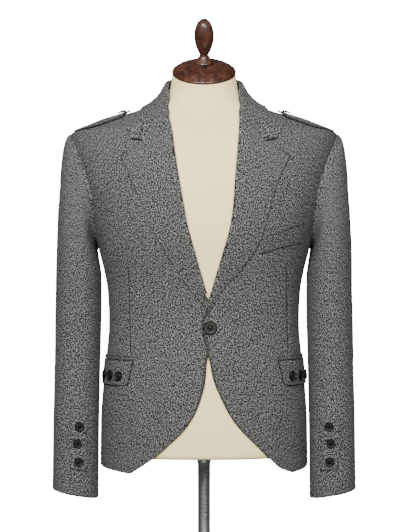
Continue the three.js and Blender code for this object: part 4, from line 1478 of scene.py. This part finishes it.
def make_buttons():
    models = {kind: button_model(kind) for kind in BUTTON_RADIUS}
    for side in (1, -1):
        word = side_word(side)
        for i, turn in enumerate(FLAP_TURNS[side]["buttons"], 1):
            spot = front_point(side, turn, FLAP_BUTTON_Z, LIE + FLAP["cloth"])
            normal = body_normal(body_point(side, turn, FLAP_BUTTON_Z))
            node = "flap_button_%s_%d" % (word, i)
            place_copy(models["flap"], "horn_" + node, spot + normal * SEAM, normal, node, i * 0.7)
        for i, (x, z) in enumerate(CUFF_BUTTONS, 1):
            spot, normal = cuff_spot(side, x, z, LIE + TAB["cloth"])
            node = "cuff_button_%s_%d" % (word, i)
            place_copy(models["cuff"], "horn_" + node, spot + normal * SEAM, normal, node, i * 0.5)
        spot = strap_point(side, STRAP_BUTTON_X, 0, LIE + STRAP["cloth"])
        normal = body_normal(spot)
        node = "strap_button_" + word
        place_copy(models["strap"], "horn_" + node, spot + normal * SEAM, normal, node)
    spot = front_at(1, *FRONT_BUTTON, 0)
    normal = body_normal(spot)
    place_copy(models["front"], "horn_front_button", spot + normal * SEAM, normal, "front_button", 0.2)
    for model in models.values():
        mesh = model.data
        bpy.data.objects.remove(model)
        bpy.data.meshes.remove(mesh)


def form_point(turn, z, inset):
    half = turn - 360 if turn > 180 else turn
    if abs(half) <= 90:
        p = body_point(1, half, z)
    else:
        p = body_point(-1, math.copysign(180 - abs(half), half), z)
    return p - body_normal(p) * inset


def make_form():
    count = 120

    def inset(z):
        return Cut.cloth + mix(1.7, 3.2, smooth(z, 775, 812))

    def slant(y):
        return NECK_TOP.z + (y - NECK_TOP.y) * math.tan(NECK_TILT)

    turns = [360 * k / count for k in range(count)]
    rows = []
    skirt = [form_point(turn, 200, inset(200)) for turn in turns]
    for inwards, rise in ((0.12, 0), (0.07, 0), (0.035, 0.7), (0.012, 3.2), (0.003, 7.0)):
        rows.append([Vector((p.x * (1 - inwards), p.y * (1 - inwards * 1.2), FORM_BOTTOM + rise)) for p in skirt])
    for z in steps(200, 800, 110):
        rows.append([form_point(turn, z, inset(z)) for turn in turns])
    tops = []
    for turn in turns:
        z = NECK_TOP.z
        for _ in range(12):
            z = slant(form_point(turn, z, inset(z)).y)
        tops.append(z)
    for share in steps(0, 1, 12)[1:]:
        heights = [mix(800, top, share) for top in tops]
        rows.append([form_point(turn, z, inset(z)) for turn, z in zip(turns, heights)])
    for p in rows[-1]:
        p.z = slant(p.y)
    points = [p for row in rows for p in row]
    faces = []
    for i in range(len(rows) - 1):
        for j in range(count):
            k = (j + 1) % count
            faces.append((i * count + j, i * count + k, (i + 1) * count + k, (i + 1) * count + j))
    points += [Vector((0, 0, FORM_BOTTOM)), NECK_TOP.copy()]
    last = (len(rows) - 1) * count
    for j in range(count):
        k = (j + 1) % count
        faces.append((len(points) - 2, k, j))
        faces.append((len(points) - 1, last + j, last + k))
    piece = mesh_piece("form_cover", points, faces, finish_of("jersey"))
    stand_for(piece, "form_body")


def make_wood():
    lean = Vector((0, -math.sin(NECK_TILT), math.cos(NECK_TILT)))
    r = NECK_RADIUS
    cap = [
        (3, SEAM),
        (r - 3, SEAM),
        (r - 1.2, SEAM + 0.2),
        (r, 1.6),
        (r, 3.2),
        (r - 0.4, 4.8),
        (r - 2.6, 6.6),
        (r * 0.86, 10.5),
        (r * 0.72, 13.9),
        (r * 0.55, 16.7),
        (r * 0.36, 18.9),
        (r * 0.2, 19.8),
        (2, CAP_TALL),
    ]
    turned_piece("wood_neck_cap", cap, 40, "wood", NECK_TOP, lean, "neck_cap")
    finial = [
        (2, 0.1),
        (12, 0.1),
        (16.2, 0.2),
        (17.1, 0.9),
        (16.4, 2.4),
        (13.4, 5.6),
        (10.4, 9.0),
        (8.2, 12.0),
        (7.4, 14.2),
        (8.3, 16.8),
        (11.0, 21.6),
        (14.0, 28.5),
        (16.4, 37),
        (17.5, 46),
        (17.2, 55),
        (15.6, 63),
        (12.9, 70.4),
        (9.2, 75.8),
        (5.2, 78.9),
        (1.7, 80.2),
    ]
    foot = NECK_TOP + lean * (CAP_TALL + SEAM)
    turned_piece("wood_finial", finial, 24, "wood", foot, lean, "finial")


def make_stand():
    up = Vector((0, 0, 1))
    pole = [
        (3, BASE_TALL + SEAM),
        (24, BASE_TALL + SEAM),
        (26, BASE_TALL + SEAM + 0.3),
        (26, BASE_TALL + 3),
        (22, BASE_TALL + 4.5),
        (13, BASE_TALL + 9),
        (11.2, BASE_TALL + 14),
        (11, BASE_TALL + 20),
        (11, FORM_BOTTOM - 20),
        (11.5, FORM_BOTTOM - 12),
        (20, FORM_BOTTOM - 8.5),
        (33, FORM_BOTTOM - 5),
        (34, FORM_BOTTOM - 3),
        (34, FORM_BOTTOM - SEAM - 0.2),
        (32, FORM_BOTTOM - SEAM),
        (3, FORM_BOTTOM - SEAM),
    ]
    turned_piece("steel_pole", pole, 28, "steel", Vector(), up, "stand_pole")
    plate = [
        (4, 0),
        (120, 0),
        (162.5, 0),
        (164.6, 0.3),
        (165, 1.6),
        (165, 5.0),
        (164, 6.8),
        (160, 8.6),
        (120, 9.6),
        (40, 11.8),
        (30, BASE_TALL),
        (4, BASE_TALL),
    ]
    turned_piece("steel_base", plate, 48, "steel", Vector(), up, "stand_base")


# Studio


# Where the camera stands, in metres, looking level along +Y
CAMERA_PLACE = (-0.007, -2.8, 0.515)


def area_light(name, place, target, size, power, tint):
    lamp = bpy.data.lights.new(name, "AREA")
    lamp.shape = "RECTANGLE"
    lamp.size, lamp.size_y = size
    lamp.energy = power
    lamp.color = linear(tint)[:3]
    made = bpy.data.objects.new(name, lamp)
    bpy.context.collection.objects.link(made)
    made.location = place
    made.rotation_euler = (Vector(target) - Vector(place)).to_track_quat("-Z", "Y").to_euler()
    made.visible_camera = False
    return made


def make_studio():
    sizes = jacket_sizes()
    far, tall, bend, count = 9.0, 9.0, 2.0, 64
    profile = [(far - bend, 0.0)]
    for angle in steps(0, 90, 12)[1:]:
        turn = math.radians(angle)
        profile.append((far - bend + bend * math.sin(turn), bend - bend * math.cos(turn)))
    profile.append((far, tall))
    points, faces = [], [tuple(range(count))]
    for reach, z in profile:
        for j in range(count):
            turn = 2 * math.pi * j / count
            points.append(Vector((reach * math.cos(turn), reach * math.sin(turn), z)))
    for i in range(len(profile) - 1):
        for j in range(count):
            k = (j + 1) % count
            faces.append((i * count + j, i * count + k, (i + 1) * count + k, (i + 1) * count + j))
    mesh = bpy.data.meshes.new("studio_paper")
    mesh.from_pydata(points, [], faces)
    mesh.update()
    for polygon in mesh.polygons:
        polygon.use_smooth = True
    mesh.materials.append(finish_of("paper"))
    floor = bpy.data.objects.new("studio_paper", mesh)
    bpy.context.collection.objects.link(floor)
    world = bpy.data.worlds.new("studio_air")
    world.use_nodes = True
    air = world.node_tree.nodes["Background"]
    air.inputs["Color"].default_value = linear("#FFFFFF")
    air.inputs["Strength"].default_value = sizes.air
    bpy.context.scene.world = world
    floor.visible_diffuse = False
    floor.visible_glossy = False
    area_light("key_light", (-0.55, -2.25, 1.6), (0, 0, 0.55), (1.1, 0.8), sizes.key, "#FFFEFB")
    area_light("fill_light", (0.8, -2.4, 1.35), (0, 0, 0.6), (1.0, 0.8), sizes.fill, "#FFFFFF")
    area_light("top_light", (0, -0.6, 3.0), (0, 0, 0.6), (1.6, 1.2), sizes.top, "#FFFFFF")
    behind = area_light("back_light", (0.4, 3.0, 2.4), (0, 0, 0.5), (1.6, 1.6), sizes.back, "#FFFFFF")
    behind.visible_glossy = False
    for side in (1, -1):
        name = "side_light_" + side_word(side)
        beside = area_light(name, (2.4 * side, 1.5, 1.6), (0, 0, 0.5), (1, 1), sizes.side, "#FFFFFF")
        beside.visible_glossy = False
    camera = bpy.data.cameras.new("photo_camera")
    camera.sensor_fit = "VERTICAL"
    camera.sensor_height = 36
    camera.lens = sizes.lens
    holder = bpy.data.objects.new("photo_camera", camera)
    bpy.context.collection.objects.link(holder)
    holder.location = CAMERA_PLACE
    holder.rotation_euler = (math.radians(90), 0, 0)
    bpy.context.scene.camera = holder


# The add-on


def colour_property(name, default):
    return bpy.props.StringProperty(name=name, description="sRGB hex colour of the " + name.lower(), default=default)


def length_property(name, description, default, low, high):
    return bpy.props.FloatProperty(
        name=name, description=description, default=default, min=low, max=high, precision=4, unit="LENGTH"
    )


def power_property(name, description, default):
    return bpy.props.FloatProperty(name=name, description=description, default=default, min=0, unit="POWER")


class JacketSizes(bpy.types.PropertyGroup):
    """Sizes and colours that a user may change."""

    cloth: length_property("Cloth", "Thickness of the tweed with its interlining", 0.0026, 0.001, 0.003)
    roll: length_property("Roll", "Radius of the lapels' and the collar's fold", 0.003, 0.002, 0.006)
    edge: length_property("Edge", "Rounding of the cloth's edges", 0.0009, 0.0002, 0.0012)
    tweed_dark: colour_property("Dark yarn", "#060606")
    tweed_middle: colour_property("Grey yarn", "#2C2C2C")
    tweed_light: colour_property("Light yarn", "#7C7C7C")
    horn: colour_property("Horn", "#020202")
    horn_streak: colour_property("Horn streaks", "#0C0806")
    # Grey of the worn places and of the painted highlight on the buttons' relief
    horn_wear_and_highlight: colour_property("Rubbed horn", "#33312F")
    cover: colour_property("Form cover", "#FFEDB2")
    # Darker cream painted into the knit's hollows as shade
    cover_hollow_shade: colour_property("Form cover's hollows", "#FCE29C")
    wood_dark: colour_property("Dark wood", "#1D0D08")
    wood_middle: colour_property("Wood", "#3C2118")
    wood_light: colour_property("Light wood", "#573524")
    steel: colour_property("Steel", "#C3C5C8")
    paper: colour_property("Paper", "#F4F4F3")
    glow: bpy.props.FloatProperty(name="Glow", description="Strength of the light through the paper", default=18, min=0)
    air: bpy.props.FloatProperty(name="Air", description="Strength of the light all round", default=0.1, min=0)
    key: power_property("Key", "Power of the main light", 112)
    fill: power_property("Fill", "Power of the fill light", 50)
    top: power_property("Top", "Power of the top light", 1)
    back: power_property("Back", "Power of the light behind", 70)
    side: power_property("Side", "Power of each side light", 24)
    lens: bpy.props.FloatProperty(
        name="Lens", description="Focal length of the camera", default=108.3, min=20, unit="CAMERA"
    )


class JACKET_OT_fronts(bpy.types.Operator):
    """Makes the two fronts with their darts"""

    bl_idname = "jacket.fronts"
    bl_label = "Fronts"

    def execute(self, context):
        Cut.read()
        both_sides(make_front)
        return {"FINISHED"}


class JACKET_OT_backs(bpy.types.Operator):
    """Makes the two backs"""

    bl_idname = "jacket.backs"
    bl_label = "Backs"

    def execute(self, context):
        Cut.read()
        both_sides(make_back)
        return {"FINISHED"}


class JACKET_OT_lapels(bpy.types.Operator):
    """Makes the rolled lapels"""

    bl_idname = "jacket.lapels"
    bl_label = "Lapels"

    def execute(self, context):
        Cut.read()
        both_sides(make_lapel)
        return {"FINISHED"}


class JACKET_OT_collar(bpy.types.Operator):
    """Makes the collar, its stand and fall in one"""

    bl_idname = "jacket.collar"
    bl_label = "Collar"

    def execute(self, context):
        Cut.read()
        make_collar()
        return {"FINISHED"}


class JACKET_OT_sleeves(bpy.types.Operator):
    """Makes the sleeves and their cuff tabs"""

    bl_idname = "jacket.sleeves"
    bl_label = "Sleeves"

    def execute(self, context):
        Cut.read()
        both_sides(make_sleeve, make_tab)
        return {"FINISHED"}


class JACKET_OT_pockets(bpy.types.Operator):
    """Makes the pocket flaps, their jets and the chest welt"""

    bl_idname = "jacket.pockets"
    bl_label = "Pockets"

    def execute(self, context):
        Cut.read()
        both_sides(make_flap)
        make_welt()
        return {"FINISHED"}


class JACKET_OT_straps(bpy.types.Operator):
    """Makes the shoulder straps"""

    bl_idname = "jacket.straps"
    bl_label = "Shoulder straps"

    def execute(self, context):
        Cut.read()
        both_sides(make_strap)
        return {"FINISHED"}


class JACKET_OT_buttons(bpy.types.Operator):
    """Makes all the buttons"""

    bl_idname = "jacket.buttons"
    bl_label = "Buttons"

    def execute(self, context):
        Cut.read()
        make_buttons()
        return {"FINISHED"}


class JACKET_OT_form(bpy.types.Operator):
    """Makes the dress form, its neck cap and finial"""

    bl_idname = "jacket.form"
    bl_label = "Dress form"

    def execute(self, context):
        Cut.read()
        make_form()
        make_wood()
        return {"FINISHED"}


class JACKET_OT_stand(bpy.types.Operator):
    """Makes the pole and the base plate"""

    bl_idname = "jacket.stand"
    bl_label = "Stand"

    def execute(self, context):
        make_stand()
        return {"FINISHED"}


class JACKET_OT_studio(bpy.types.Operator):
    """Makes the paper backdrop, the lights and the camera"""

    bl_idname = "jacket.studio"
    bl_label = "Studio"

    def execute(self, context):
        make_studio()
        return {"FINISHED"}


STEPS = [
    JACKET_OT_studio,
    JACKET_OT_fronts,
    JACKET_OT_backs,
    JACKET_OT_lapels,
    JACKET_OT_collar,
    JACKET_OT_sleeves,
    JACKET_OT_pockets,
    JACKET_OT_straps,
    JACKET_OT_buttons,
    JACKET_OT_form,
    JACKET_OT_stand,
]


class JACKET_PT_panel(bpy.types.Panel):
    """Lists the jacket's steps, sizes and colours"""

    bl_label = "Tweed jacket"
    bl_idname = "JACKET_PT_panel"
    bl_space_type = "VIEW_3D"
    bl_region_type = "UI"
    bl_category = "Jacket"

    def draw(self, context):
        for name in JacketSizes.__annotations__:
            self.layout.prop(context.scene.jacket_sizes, name)
        for step in STEPS:
            self.layout.operator(step.bl_idname)


def register():
    for kind in [JacketSizes, *STEPS, JACKET_PT_panel]:
        bpy.utils.register_class(kind)
    bpy.types.Scene.jacket_sizes = bpy.props.PointerProperty(type=JacketSizes)


def unregister():
    del bpy.types.Scene.jacket_sizes
    for kind in reversed([JacketSizes, *STEPS, JACKET_PT_panel]):
        bpy.utils.unregister_class(kind)


def main():
    register()
    bpy.ops.jacket.studio()
    bpy.ops.jacket.fronts()
    bpy.ops.jacket.backs()
    bpy.ops.jacket.lapels()
    bpy.ops.jacket.collar()
    bpy.ops.jacket.sleeves()
    bpy.ops.jacket.pockets()
    bpy.ops.jacket.straps()
    bpy.ops.jacket.buttons()
    bpy.ops.jacket.form()
    bpy.ops.jacket.stand()


if __name__ == "__main__":
    main()
